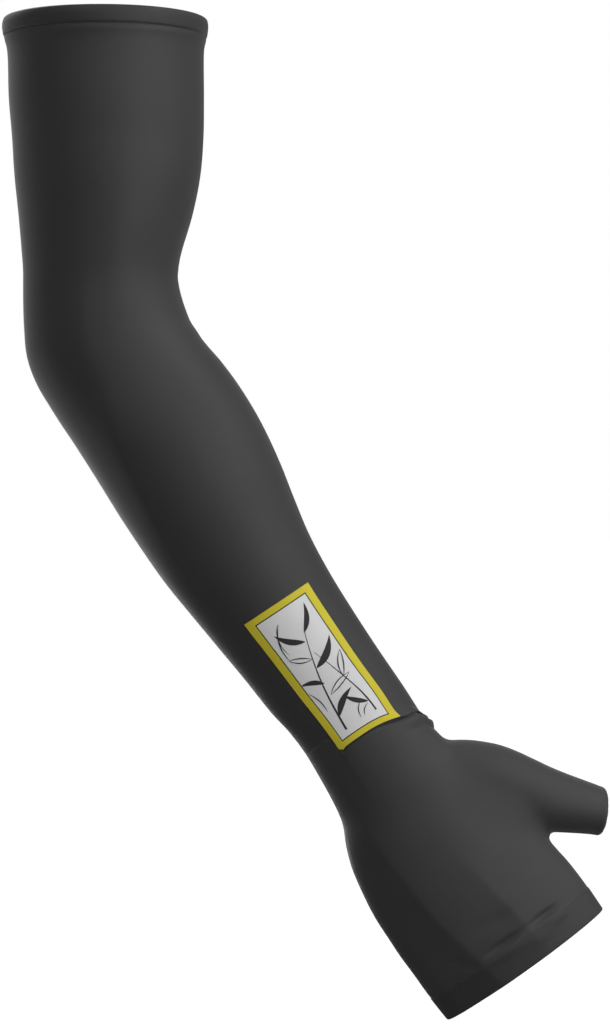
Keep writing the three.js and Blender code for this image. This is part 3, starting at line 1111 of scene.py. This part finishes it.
@dataclass
class HandCover:
    """The fingerless cover over wrist, palm and thumb base, with its short thumb tube."""

    form: ArmForm
    wall: float = 0.8 * MM
    rim_bevel: float = 0.25 * MM
    tuck: float = 6 * MM
    tuck_depth: float = 0.95 * MM
    tuck_ramp: float = 1.4 * MM
    loose_depth: float = 0.7 * MM
    loose_ramp: float = 2.0 * MM
    roll: float = 2.6 * MM
    roll_start: float = 4.0 * MM
    roll_length: float = 12 * MM
    flush_side: tuple[float, float] = (0.4, 0.65)
    loose_side: tuple[float, float] = (0.0, 0.7)
    roll_side: tuple[float, float] = (0.45, 1.0)
    hem_overlap: float = 1.5 * MM
    hem_step: float = 0.12 * MM
    girth: float = 230 * MM
    thumb_length: float = 91 * MM
    thumb_spread: float = math.radians(41.4)
    thumb_drop: float = math.radians(9)
    thumb_root_along: float = 28.8 * MM
    thumb_root_aside: float = 16.3 * MM
    thumb_root_back: float = 0.5 * MM
    thumb_rim_out: float = 1.6 * MM
    thumb_rim_turn: float = math.radians(7)
    thumb_rim_curl: float = 2.4 * MM
    thumb_share_along: tuple[float, float] = (42 * MM, 60 * MM)
    thumb_share_off: tuple[float, float] = (18.5 * MM, 32 * MM)
    web_middle: tuple[float, float, float] = (36 * MM, 0, 40 * MM)
    web_half_size: tuple[float, float, float] = (28 * MM, 30 * MM, 36 * MM)
    web_lean: float = math.radians(17)
    web_passes: int = 500
    back_middle: tuple[float, float, float] = (24 * MM, 0, 50 * MM)
    back_half_size: tuple[float, float, float] = (42 * MM, 30 * MM, 46 * MM)
    back_passes: int = 500
    side_on: float = 0.15
    full_on: float = 0.6
    crotch_middle: tuple[float, float, float] = (47 * MM, 0, 91 * MM)
    crotch_half_size: tuple[float, float, float] = (14 * MM, 30 * MM, 14 * MM)
    crotch_passes: int = 20
    full_draw: float = 0.55
    end_of_draw: float = 1.1
    coarse_voxel: float = 1.8 * MM
    coarse_smooths: int = 2
    fine_smooths: int = 6
    overrun: float = 8 * MM
    around: int = 96
    ring_step: float = 3 * MM
    voxel: float = 0.93 * MM

    def thumb_root(self) -> np.ndarray:
        """Where the thumb tube starts, on the straight arm."""
        at = self.form.wrist_edge + self.thumb_root_along
        return np.array([self.thumb_root_aside, self.thumb_root_back, -at])

    def thumb_line(self) -> np.ndarray:
        """The direction of the thumb tube, on the straight arm.

        Returns:
            A vector of length 1.
        """
        lean_out = math.cos(self.thumb_drop)
        return np.array(
            [
                math.sin(self.thumb_spread) * lean_out,
                math.sin(self.thumb_drop),
                -math.cos(self.thumb_spread) * lean_out,
            ]
        )

    def past_thumb_rim(self, places: np.ndarray) -> np.ndarray:
        """How far each place lies beyond the plane of the thumb's rim."""
        middle, outwards = self.thumb_rim()
        return (places - middle) @ outwards

    def thumb_rim(self) -> tuple[np.ndarray, np.ndarray]:
        """The middle of the thumb's rim and the direction that its opening faces.

        Returns:
            The two, on the straight arm.
        """
        middle = self.thumb_root() + self.thumb_line() * (self.thumb_length + self.thumb_rim_out)
        x, y, z = self.thumb_line()
        cosine, sine = math.cos(self.thumb_rim_turn), math.sin(self.thumb_rim_turn)
        return middle, np.array([x * cosine - z * sine, y, z * cosine + x * sine])

    def rings(self, start: float, end: float) -> np.ndarray:
        """Even ring places between two ends."""
        return np.linspace(start, end, round((end - start) / self.ring_step) + 1)

    def palm(self) -> bpy.types.Object:
        """Models the palm's closed form, a little longer than the cover at both ends.

        Returns:
            The form, in object mode.
        """
        form = self.form
        start = form.wrist_edge - self.tuck - self.overrun
        stations = self.rings(start, form.knuckle_rim)
        outline = form.sections.outline(stations)
        palm = Workbench.loft("hand_cover_knit", stations, outline, self.around, ends=True)
        places = Workbench.points(palm)
        at = -places[:, 2]
        x, y, _ = form.sections.outline(at).points(form.turn_round(places, at), np.zeros(len(at)))
        Workbench.shape(palm, np.column_stack([x, y, -at]))
        return palm

    def thumb(self) -> bpy.types.Object:
        """Models the thumb's closed form, upright first, and then turns it into its place.

        Returns:
            The form, in object mode.
        """
        table = Sections(((THUMB_SECTIONS, 0.0, self.thumb_length),))
        stations = self.rings(0.0, self.thumb_length + self.overrun)
        thumb = Workbench.loft("thumb", stations, table.outline(stations), self.around // 2, ends=True)
        Workbench.choose(thumb, np.ones(len(thumb.data.vertices), bool))
        origin = (0, 0, 0)
        bpy.ops.transform.rotate(value=-self.thumb_drop, orient_axis="X", center_override=origin)
        bpy.ops.transform.rotate(value=self.thumb_spread, orient_axis="Y", center_override=origin)
        bpy.ops.transform.translate(value=self.thumb_root())
        Workbench.clear()
        return thumb

    def fuse(self, palm: bpy.types.Object, thumb: bpy.types.Object) -> None:
        """Joins the thumb to the palm in one skin.

        Args:
            palm: the palm's form, which holds the result.
            thumb: the thumb's form, used up.
        """
        Workbench.take(palm)
        thumb.select_set(True)
        bpy.ops.object.join()
        Workbench.modify(palm, "REMESH", mode="VOXEL", voxel_size=self.coarse_voxel, adaptivity=0)
        Workbench.modify(palm, "SMOOTH", factor=0.5, iterations=self.coarse_smooths)

    def draw_tight(
        self, cover: bpy.types.Object, middle: Sequence[float], half_size: Sequence[float],
        passes: int, outer_side_only: bool = False,
    ) -> None:
        """Pulls the cloth tight over a hollow: it eases outwards there and never sinks in.

        Args:
            cover: the fused form.
            middle: the middle of the region, from the wrist edge down, on the straight arm.
            half_size: the region's half sizes, across, through and along its lean.
            passes: how often each point moves towards the middle of its neighbours.
            outer_side_only: whether only the faces on the arm's outer side are drawn.
        """
        start = Workbench.points(cover)
        normals = Workbench.normals(cover)
        away = start - np.array([middle[0], middle[1], -self.form.wrist_edge - middle[2]])
        cosine, sine = math.cos(self.web_lean), math.sin(self.web_lean)
        lean = np.array([[cosine, 0, sine], [0, 1, 0], [-sine, 0, cosine]])
        reach = np.linalg.norm(away @ lean.T / np.array(half_size), axis=1)
        pull = (reach < self.end_of_draw)[:, None]
        blend = (1 - smooth_step(reach, self.full_draw, self.end_of_draw))[:, None]
        if outer_side_only:
            pull &= normals[:, 1:2] < -self.side_on
            blend *= smooth_step(-normals[:, 1:2], self.side_on, self.full_on)
        ends = np.empty(len(cover.data.edges) * 2, int)
        cover.data.edges.foreach_get("vertices", ends)
        ends = ends.reshape(-1, 2)
        ends = ends[(pull[ends[:, 0], 0] > 0) | (pull[ends[:, 1], 0] > 0)]
        one, other = np.concatenate([ends, ends[:, ::-1]]).T
        count = np.maximum(np.bincount(one, minlength=len(start)), 1)
        places = start.copy()
        for _ in range(passes):
            total = [np.bincount(one, places[other, axis], len(start)) for axis in range(3)]
            eased = places + (np.column_stack(total) / count[:, None] - places) * pull
            outwards = ((eased - start) * normals).sum(axis=1) >= 0
            places = np.where(outwards[:, None], eased, start)
        Workbench.shape(cover, start + (places - start) * blend)

    def open_rims(self, cover: bpy.types.Object) -> None:
        """Cuts the fused form open at the wrist, the knuckles and the thumb's rim.

        Args:
            cover: the fused form.
        """
        form = self.form
        wrist = -(form.wrist_edge - self.tuck)
        knuckles = -(form.knuckle_hem_start + self.hem_overlap)
        rim, rim_out = self.thumb_rim()
        cuts = (
            ((0, 0, wrist), (0, 0, 1), False),
            ((0, 0, knuckles), (0, 0, -1), False),
            (tuple(rim), tuple(rim_out), True),
        )
        for place, outwards, thumb_only in cuts:
            places = Workbench.points(cover)
            on_thumb = self.on_thumb(places) > 0.5
            Workbench.choose(cover, on_thumb if thumb_only else np.ones(len(places), bool))
            bpy.ops.mesh.bisect(plane_co=place, plane_no=outwards, clear_outer=True)
            bpy.ops.object.mode_set(mode="OBJECT")

    def along_thumb(self, places: np.ndarray) -> tuple[np.ndarray, np.ndarray]:
        """How far each place lies along the thumb tube, and how far off its line.

        Args:
            places: points on the straight arm, one row each.

        Returns:
            The two distances.
        """
        from_root = places - self.thumb_root()
        along = from_root @ self.thumb_line()
        off = np.linalg.norm(from_root - along[:, None] * self.thumb_line(), axis=1)
        return along, off

    def on_thumb(self, places: np.ndarray) -> np.ndarray:
        """How far each place belongs to the thumb tube rather than the palm, from 0 to 1.

        Args:
            places: points on the straight arm, one row each.

        Returns:
            The shares.
        """
        along, off = self.along_thumb(places)
        near = 1 - smooth_step(off, *self.thumb_share_off)
        return smooth_step(along, *self.thumb_share_along) * near

    def build(self, finish: bpy.types.Material) -> bpy.types.Object:
        """Models the cover and dresses it.

        Args:
            finish: the material to dress it in.

        Returns:
            The cover.
        """
        form = self.form
        cover = self.palm()
        self.fuse(cover, self.thumb())
        self.draw_tight(cover, self.web_middle, self.web_half_size, self.web_passes)
        self.draw_tight(cover, self.back_middle, self.back_half_size, self.back_passes, True)
        self.draw_tight(cover, self.crotch_middle, self.crotch_half_size, self.crotch_passes)
        Workbench.modify(cover, "REMESH", mode="VOXEL", voxel_size=self.voxel, adaptivity=0)
        Workbench.modify(cover, "SMOOTH", factor=0.5, iterations=self.fine_smooths)
        self.open_rims(cover)
        Workbench.face_out(cover)
        places = Workbench.points(cover)
        normals = Workbench.normals(cover)
        at = -places[:, 2]
        angle = form.turn_on_skin(places, at)
        on_palm = 1 - self.on_thumb(places)
        thumbward = np.cos(angle)
        flush = smooth_step(-thumbward, *self.flush_side)
        loose = smooth_step(thumbward, *self.loose_side)
        past_edge = at - form.wrist_edge + self.tuck_ramp * flush
        inside = 1 - smooth_step(past_edge / (self.tuck_ramp + self.loose_ramp * loose), 0, 1)
        rolled = np.clip((at - form.wrist_edge + self.roll_start) / self.roll_length, 0, 1)
        roll = self.roll * smooth_step(thumbward, *self.roll_side) * np.sin(math.pi * rolled)
        hem_start = form.knuckle_hem_start
        under_hem = smooth_step(at, hem_start - self.voxel, hem_start)
        lift = roll - (self.tuck_depth + self.loose_depth * loose) * inside
        lift -= self.hem_step * under_hem
        lift += form.folds(at, angle, HAND_FOLDS) * on_palm
        lift -= self.curl(places)
        outline = form.sections.outline(at)
        across = np.clip((places[:, 0] - outline.lean) / outline.half_width, -1, 1)
        on_hand = np.clip((at - form.wrist_edge) / form.hand_length, 0, 1)
        slant = -places[:, 0] * math.tan(form.knuckle_slant) * on_hand
        down = (slant + form.edge_shift(at, angle, across)) * on_palm
        moved = places + normals * lift[:, None]
        moved[:, 2] -= down
        Workbench.shape(cover, moved)
        KnitGauge().lay(cover, form.turn_round(places, at), at, self.girth)
        form.bend(cover, at + form.elbow_end)
        Workbench.thicken(cover, self.wall, self.rim_bevel)
        dress(cover, finish)
        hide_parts("hand_cover")
        return cover

    def curl(self, places: np.ndarray) -> np.ndarray:
        """How far the thumb's rim rounds in at each place."""
        last = np.clip(self.past_thumb_rim(places) / self.thumb_rim_curl + 1, 0, 1)
        return self.thumb_rim_curl * (1 - np.sqrt(1 - last**2)) * (self.on_thumb(places) > 0.5)


@dataclass
class Hem:
    """A folded band of two plies round a rim, with rounded corners."""

    form: ArmForm
    name: str
    node: str
    start: float
    end: float
    folds: Sequence[Fold] = ()
    thickness: float = 2.6 * MM
    rounding: float = 0.9 * MM
    seam_rounding: float = 0.6 * MM
    around: int = 192
    ring_step: float = 0.8 * MM
    corner_steps: int = 4

    def profile(self) -> np.ndarray:
        """Draws the band's profile, once round.

        Returns:
            One row for each ring: its distance down the arm and its inset.
        """
        wide, narrow = self.rounding, self.seam_rounding
        seam_at_end = self.start == 0
        at_end, at_start = (narrow, wide) if seam_at_end else (wide, narrow)
        corners = (
            (self.end - at_end, at_end, 0, at_end),
            (self.end - at_end, self.thickness - at_end, 90, at_end),
            (self.start + at_start, self.thickness - at_start, 180, at_start),
            (self.start + at_start, at_start, 270, at_start),
        )
        rows = []
        for i, (at, inset, turn, radius) in enumerate(corners):
            for step in range(self.corner_steps + 1):
                swing = math.radians(turn + 90 * step / self.corner_steps)
                rows.append((at + radius * math.sin(swing), inset - radius * math.cos(swing)))
            if turn in (90, 270):
                goal = corners[(i + 1) % 4][0]
                count = round(abs(goal - at) / self.ring_step)
                level = self.thickness if turn == 90 else 0.0
                rows += [(at + (goal - at) * k / count, level) for k in range(1, count)]
        return np.array(rows)

    def build(self, finish: bpy.types.Material) -> bpy.types.Object:
        """Models the band and dresses it.

        Args:
            finish: the material to dress it in.

        Returns:
            The band.
        """
        form = self.form
        profile = self.profile()
        outline = form.sections.outline(profile[:, 0])
        half_width = outline.half_width - profile[:, 1]
        half_depth = outline.half_depth - profile[:, 1]
        drawn_in = Outline(half_width, half_depth, outline.lean, outline.cup, outline.square)
        band = Workbench.loft(self.name, profile[:, 0], drawn_in, self.around, ends=False)
        ring = np.arange(len(band.data.vertices)) // self.around
        places = Workbench.points(band)
        aside = (places[:, 0] - outline.lean[ring]) / half_width[ring]
        angle = np.arctan2(-places[:, 1] / half_depth[ring], aside)
        at, inset = profile[ring].T
        lift = form.folds(at, angle, self.folds) * (1 - inset / self.thickness)
        Workbench.choose(band, (ring == 0) | (ring == len(profile) - 1))
        bpy.ops.mesh.bridge_edge_loops()
        bpy.ops.object.mode_set(mode="OBJECT")
        Workbench.shape(band, form.skin(at, angle, inset - lift))
        KnitGauge().lay(band, form.turn_round(Workbench.points(band), at), at)
        Workbench.face_out(band)
        if self.start > form.elbow_end:
            form.bend(band, at)
        dress(band, finish)
        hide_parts(self.node)
        return band


class Brush(Enum):
    """How an ink stroke's width runs from its start to its end."""

    LEAF = "widest before its middle and pointed at both ends"
    LINE = "full at its start and pointed at its end"
    ARC = "a hair's breadth, thinning to both ends"


class Stroke(NamedTuple):
    """One ink stroke: its start, heading, length, sideways bow and full width.

    x runs towards the thumb and y up the arm from the panel's middle, in millimetres. The heading
    is in degrees, 0 towards the thumb and 90 up the arm.
    """

    brush: Brush
    x: float
    y: float
    heading: float
    length: float
    bow: float
    width: float


# Reeds: two stems, dark leaves, outlined leaves and thin arcs
REEDS = (
    Stroke(Brush.LINE, -8.5, -34, 78, 58, 2.2, 1.15),
    Stroke(Brush.LINE, 9.5, -33, 101, 44, -1.6, 0.95),
    Stroke(Brush.LEAF, -7.6, -26, 38, 17, 1.6, 3.4),
    Stroke(Brush.LEAF, -3.6, -6, 152, 12, -1.2, 2.6),
    Stroke(Brush.LEAF, -2.4, 3, 36, 18, -2.0, 3.6),
    Stroke(Brush.LEAF, 0.6, 17, 134, 15, 1.5, 3.0),
    Stroke(Brush.LEAF, 2.6, 21, 58, 15, -1.4, 2.6),
    Stroke(Brush.LEAF, 8.6, -27, 132, 13, 1.2, 2.8),
    Stroke(Brush.ARC, -4.5, -13, 20, 15, 1.8, 0.6),
    Stroke(Brush.ARC, -4.5, -13, 20, 15, -0.9, 0.6),
    Stroke(Brush.ARC, -1.6, 8, 150, 11, 1.6, 0.6),
    Stroke(Brush.ARC, -1.6, 8, 150, 11, -0.8, 0.6),
    Stroke(Brush.ARC, 6.2, -8, 64, 14, 1.9, 0.6),
    Stroke(Brush.ARC, 6.2, -8, 64, 14, -0.9, 0.6),
    Stroke(Brush.ARC, -10.5, 12, 74, 20, 2.6, 0.55),
    Stroke(Brush.ARC, -9.2, 16, 76, 16, 2.2, 0.45),
    Stroke(Brush.ARC, 1.0, -33, 62, 9, 1.4, 0.5),
    Stroke(Brush.ARC, 3.0, -33, 48, 7, 1.0, 0.5),
    Stroke(Brush.ARC, -11, -20, 98, 14, -1.2, 0.55),
)


@dataclass
class PrintedPanel:
    """The framed print on the outer side of the forearm: drawn flat, then laid on the cloth."""

    form: ArmForm
    length: float = 81.2 * MM
    wrist_margin: float = 0.35 * MM
    left: float = -0.435
    right: float = 0.635
    frame_side: float = 3.8 * MM
    frame_top: float = 3.3 * MM
    frame_bottom: float = 2.9 * MM
    outline: float = 0.6 * MM
    lift: float = 0.1 * MM
    film: float = 0.25 * MM
    ink: float = 0.05 * MM
    ink_step: float = 0.008 * MM
    ink_weld: float = 0.002 * MM
    step: float = 2 * MM
    strokes: Sequence[Stroke] = REEDS

    def girth(self) -> tuple[np.ndarray, np.ndarray]:
        """The turns across the panel at its middle, and the skin's length up to each.

        Returns:
            The turns and the lengths.
        """
        turns = np.linspace(math.acos(self.right), math.acos(self.left), 200)
        at = np.full(len(turns), self.middle())
        x, y, _ = self.form.sections.outline(at).points(turns, np.zeros(len(turns)))
        steps = np.hypot(np.diff(x), np.diff(y))
        return turns, np.concatenate([[0], np.cumsum(steps)])

    def middle(self) -> float:
        """How far down the arm the panel's middle lies."""
        return self.form.wrist_edge - self.wrist_margin - self.length / 2

    def opening(self, margin: float) -> tuple[tuple[float, float], tuple[float, float]]:
        """The frame's opening drawn in by a margin, laid flat.

        Args:
            margin: how far inside the opening the corners lie.

        Returns:
            Its lowest and its highest corner.
        """
        half_width = self.girth()[1][-1] / 2
        x = half_width - self.frame_side - margin
        low = -self.length / 2 + self.frame_bottom + margin
        return (-x, low), (x, self.length / 2 - self.frame_top - margin)

    def lay(self, piece: bpy.types.Object) -> None:
        """Wraps a flat piece round the forearm, gives it the cloth's knit and bends it into place.

        Args:
            piece: the piece, drawn flat about the panel's middle.
        """
        places = Workbench.points(piece)
        turns, lengths = self.girth()
        angle = np.interp(lengths[-1] / 2 - places[:, 0], lengths, turns)
        at = self.middle() - places[:, 1]
        lift = self.form.folds(at, angle, ARM_FOLDS) + self.form.wrist_flare(at, angle)
        Workbench.shape(piece, self.form.skin(at, angle, -self.lift - places[:, 2] - lift))
        KnitGauge().lay(piece, angle, at)
        self.form.bend(piece, at)

    def frame(self) -> bpy.types.Object:
        """Cuts the frame: a sheet with its field taken out.

        Returns:
            The frame, flat.
        """
        x, y = self.girth()[1][-1] / 2, self.length / 2
        frame = Workbench.flat_sheet("print_frame_film", (-x, -y), (x, y), self.step)
        low, high = self.opening(0)
        for axis in (0, 1):
            Workbench.slit(frame, axis, low[axis])
            Workbench.slit(frame, axis, high[axis])
        middles = np.array([face.center for face in frame.data.polygons])[:, :2]
        Workbench.drop_faces(frame, ((middles > low) & (middles < high)).all(axis=1))
        return frame

    def field(self) -> bpy.types.Object:
        """Cuts the pale field."""
        return Workbench.flat_sheet("print_field_film", *self.opening(self.outline), self.step)

    def stroke(self, row: Stroke, level: float) -> bpy.types.Object:
        """Draws one ink stroke as a flat ribbon.

        Args:
            row: the stroke.
            level: its height above the cloth.

        Returns:
            The ribbon.
        """
        bpy.ops.mesh.primitive_grid_add(x_subdivisions=14, y_subdivisions=4, size=1)
        ribbon = bpy.context.object
        places = Workbench.points(ribbon)
        t = places[:, 0] + 0.5
        profiles = {
            Brush.LEAF: np.sin(math.pi * t**0.8) ** 0.9,
            Brush.LINE: 1 - 0.75 * t,
            Brush.ARC: 0.25 + 0.75 * np.sin(math.pi * t),
        }
        heading = math.radians(row.heading)
        onward = row.length * t
        aside = 4 * row.bow * t * (1 - t) + places[:, 1] * row.width * profiles[row.brush]
        x = row.x + onward * math.cos(heading) - aside * math.sin(heading)
        y = row.y + onward * math.sin(heading) + aside * math.cos(heading)
        flat = np.column_stack([x * MM, y * MM, np.full(len(t), level)])
        Workbench.shape(ribbon, flat)
        return ribbon

    def drawing(self) -> bpy.types.Object:
        """Draws all the strokes as one piece, each a hair above the last.

        Returns:
            The drawing, flat.
        """
        Workbench.clear()
        levels = [self.film + i * self.ink_step for i in range(len(self.strokes))]
        ribbons = [self.stroke(row, level) for row, level in zip(self.strokes, levels)]
        Workbench.take(ribbons[0])
        for ribbon in ribbons[1:]:
            ribbon.select_set(True)
        bpy.ops.object.join()
        ribbons[0].name = "print_ink"
        Workbench.modify(ribbons[0], "WELD", merge_threshold=self.ink_weld)
        return ribbons[0]

    def build(
        self, yellow: bpy.types.Material, pale: bpy.types.Material, black: bpy.types.Material
    ) -> list[bpy.types.Object]:
        """Models the panel's layers and dresses them.

        Args:
            yellow: the frame's material.
            pale: the field's material.
            black: the drawing's material.

        Returns:
            The frame, the field and the drawing.
        """
        layers = (
            (self.frame(), self.film, yellow, Slot.YELLOW),
            (self.field(), self.film, pale, Slot.PALE),
            (self.drawing(), self.ink, black, Slot.KNIT),
        )
        for piece, thickness, finish, slot in layers:
            Workbench.modify(piece, "SOLIDIFY", thickness=thickness, offset=1)
            self.lay(piece)
            Workbench.face_out(piece)
            dress(piece, finish)
        pieces = [layer[0] for layer in layers]
        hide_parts("print_frame")
        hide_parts("print_field")
        return pieces


@dataclass
class StitchRow:
    """A row of sewing thread along a hem's seam: one stitch, repeated round the arm."""

    form: ArmForm
    name: str
    at: float
    sunk: float = 0.55 * MM
    stitch_length: float = 2.4 * MM
    pitch: float = 3.1 * MM
    thread: float = 0.4 * MM

    def girth(self) -> tuple[np.ndarray, np.ndarray]:
        """The turns round the seam, and the skin's length up to each.

        Returns:
            The turns and the lengths.
        """
        turns = np.linspace(0, 2 * math.pi, 400)
        outline = self.form.sections.outline(np.full(len(turns), self.at))
        x, y, _ = outline.points(turns, np.full(len(turns), self.sunk))
        return turns, np.concatenate([[0], np.cumsum(np.hypot(np.diff(x), np.diff(y)))])

    def build(self, finish: bpy.types.Material) -> bpy.types.Object:
        """Models the row flat, lays it in the seam and dresses it.

        Args:
            finish: the material to dress it in.

        Returns:
            The row.
        """
        Workbench.clear()
        turns, lengths = self.girth()
        count = round(lengths[-1] / self.pitch)
        pitch = lengths[-1] / count
        bpy.ops.mesh.primitive_uv_sphere_add(segments=10, ring_count=8, radius=0.5)
        row = bpy.context.object
        row.name = self.name
        Workbench.choose(row, np.ones(len(row.data.vertices), bool))
        size = (self.stitch_length, self.thread, self.thread)
        bpy.ops.transform.resize(value=size, center_override=(0, 0, 0))
        bpy.ops.transform.translate(value=(pitch / 2, 0, 0))
        Workbench.clear()
        Workbench.modify(
            row, "ARRAY", count=count, use_relative_offset=False, use_constant_offset=True,
            constant_offset_displace=(pitch, 0, 0),
        )
        places = Workbench.points(row)
        angle = np.interp(places[:, 0], lengths, turns)
        at = self.at + places[:, 1]
        Workbench.shape(row, self.form.skin(at, angle, self.sunk - places[:, 2]))
        if self.at > self.form.elbow_end:
            self.form.bend(row, at)
        Workbench.face_out(row)
        dress(row, finish)
        return row


class Lamp(NamedTuple):
    """A soft square light: its turn round the sleeve, 0 in front and 90 at +X, and its height angle.

    The angles are in degrees, the distance from the sleeve's middle and the size in metres, and
    the power in watts.
    """

    name: str
    azimuth: float
    height: float
    power: float
    distance: float = 1.6
    size: float = 0.6


LAMPS = (
    Lamp("key", 45, 8, 5.6),
    Lamp("key_front", 20, 8, 4.0),
    Lamp("key_high", 70, 45, 9.4),
    Lamp("key_side", 70, 8, 2.1),
    Lamp("top_front", -20, 45, 4.6),
    Lamp("back_high", -135, 45, 10.9),
    Lamp("rim_left", -110, 8, 0.7),
    Lamp("bounce_back", -150, -17, 1.5, distance=0.85, size=0.4),
    Lamp("bounce_left", -110, -17, 1.1, distance=0.85, size=0.4),
    Lamp("bounce_front", 40, -17, 0.43, distance=0.85, size=0.4),
    Lamp("bounce_right", 110, -17, 0.24, distance=0.85, size=0.4),
)


@dataclass
class Studio:
    """Plain floor made pale by painted light, soft light and the camera at the photograph's angle."""

    camera_distance: float = 1.5
    camera_across: float = 100 * MM
    camera_height: float = -246 * MM
    frame_height: float = 512 * MM
    sensor: float = 36.0
    floor_level: float = -0.56
    floor_size: float = 60.0
    painted_light_fade: float = 2.5
    painted_light_near: tuple[float, float, float] = (0.86, 0.86, 0.86)
    painted_light_far: tuple[float, float, float] = (1.0, 1.0, 1.0)
    floor_colour: tuple[float, float, float, float] = (0.25, 0.25, 0.25, 1.0)
    fill: float = 0.08

    def build(self) -> None:
        """Sets up floor, world, lights and camera."""
        self.floor()
        self.world()
        self.lights()
        self.camera()
        bpy.context.scene.view_settings.view_transform = "Standard"

    def floor(self) -> None:
        """A wide grey floor below the hand, made pale by painted light: it glows, darker towards its
        middle and full white far off, and gives no light to the sleeve.
        """
        Workbench.clear()
        bpy.ops.mesh.primitive_plane_add(size=self.floor_size, location=(0, 0, self.floor_level))
        floor = bpy.context.object
        floor.name = "floor"
        board = NodeBoard("painted_light_floor")
        place = board.node("ShaderNodeTexCoord")
        away = board.node("ShaderNodeVectorMath", operation="LENGTH")
        board.feed(away.inputs[0], place.outputs["Object"])
        share = board.math("DIVIDE", away.outputs["Value"], self.painted_light_fade)
        # Painted light: the floor glows in place of light falling on it, darker towards its middle
        painted_light = board.mix(board.math("MINIMUM", share, 1.0), self.painted_light_near, self.painted_light_far)
        board.set(Base_Color=self.floor_colour, Roughness=0.9, Specular_IOR_Level=0.0)
        board.set(Emission_Color=painted_light, Emission_Strength=1.0)
        floor.data.materials.append(board.material)
        floor.visible_diffuse = False
        floor.visible_glossy = False

    def world(self) -> None:
        """A white backdrop that lights the sleeve only a little."""
        world = bpy.data.worlds.new("studio")
        bpy.context.scene.world = world
        world.use_nodes = True
        tree = world.node_tree
        lit = tree.nodes["Background"]
        lit.inputs["Color"].default_value = (1, 1, 1, 1)
        lit.inputs["Strength"].default_value = self.fill
        seen = tree.nodes.new("ShaderNodeBackground")
        seen.inputs["Color"].default_value = (1, 1, 1, 1)
        path = tree.nodes.new("ShaderNodeLightPath")
        mix = tree.nodes.new("ShaderNodeMixShader")
        tree.links.new(path.outputs["Is Camera Ray"], mix.inputs["Fac"])
        tree.links.new(lit.outputs[0], mix.inputs[1])
        tree.links.new(seen.outputs[0], mix.inputs[2])
        tree.links.new(mix.outputs[0], tree.nodes["World Output"].inputs["Surface"])

    def light(self, lamp: Lamp) -> None:
        """Adds a soft square light that faces the sleeve's middle.

        Args:
            lamp: the light's row.
        """
        turn = math.radians(lamp.azimuth)
        rise = math.radians(lamp.height)
        level = math.cos(rise)
        away = np.array([math.sin(turn) * level, -math.cos(turn) * level, math.sin(rise)])
        middle = np.array([self.camera_across, 0, self.camera_height])
        facing = (math.pi / 2 - rise, 0, turn)
        bpy.ops.object.light_add(type="AREA", location=middle + away * lamp.distance, rotation=facing)
        bpy.context.object.name = lamp.name
        bpy.context.object.data.size = lamp.size
        bpy.context.object.data.energy = lamp.power

    def lights(self) -> None:
        """Sets up the lamps."""
        Workbench.clear()
        for lamp in LAMPS:
            self.light(lamp)

    def camera(self) -> None:
        """The camera, level and square to the arm's outer side."""
        place = (self.camera_across, -self.camera_distance, self.camera_height)
        bpy.ops.object.camera_add(location=place, rotation=(math.pi / 2, 0, 0))
        camera = bpy.context.object
        camera.data.sensor_width = self.sensor
        camera.data.lens = self.sensor * self.camera_distance / self.frame_height
        bpy.context.scene.camera = camera


def main() -> None:
    """Builds the sleeve and its studio, in order."""
    logging.basicConfig(level=logging.INFO, format="%(name)s %(message)s")
    form = ArmForm()
    knit = CLOTH.material()
    hem_knit = HEM_CLOTH.material()
    tube = ArmTube(form).build(knit)
    cover = HandCover(form).build(knit)
    upper = Hem(form, "upper_hem_band", "upper_hem", 0.0, form.upper_hem_height).build(hem_knit)
    knuckle = Hem(
        form, "knuckle_hem_band", "knuckle_hem", form.knuckle_hem_start, form.knuckle_rim,
        HAND_FOLDS, seam_rounding=0.2 * MM,
    ).build(hem_knit)
    thread = ThreadFinish().material()
    upper_stitches = StitchRow(form, "upper_hem_stitches", form.upper_hem_height).build(thread)
    knuckle_stitches = StitchRow(form, "knuckle_hem_stitches", form.knuckle_hem_start).build(thread)
    printed = PrintedPanel(form).build(*(ink.material() for ink in (YELLOW_INK, PALE_INK, BLACK_INK)))
    Studio().build()
    Workbench.clear()


if __name__ == "__main__":
    main()
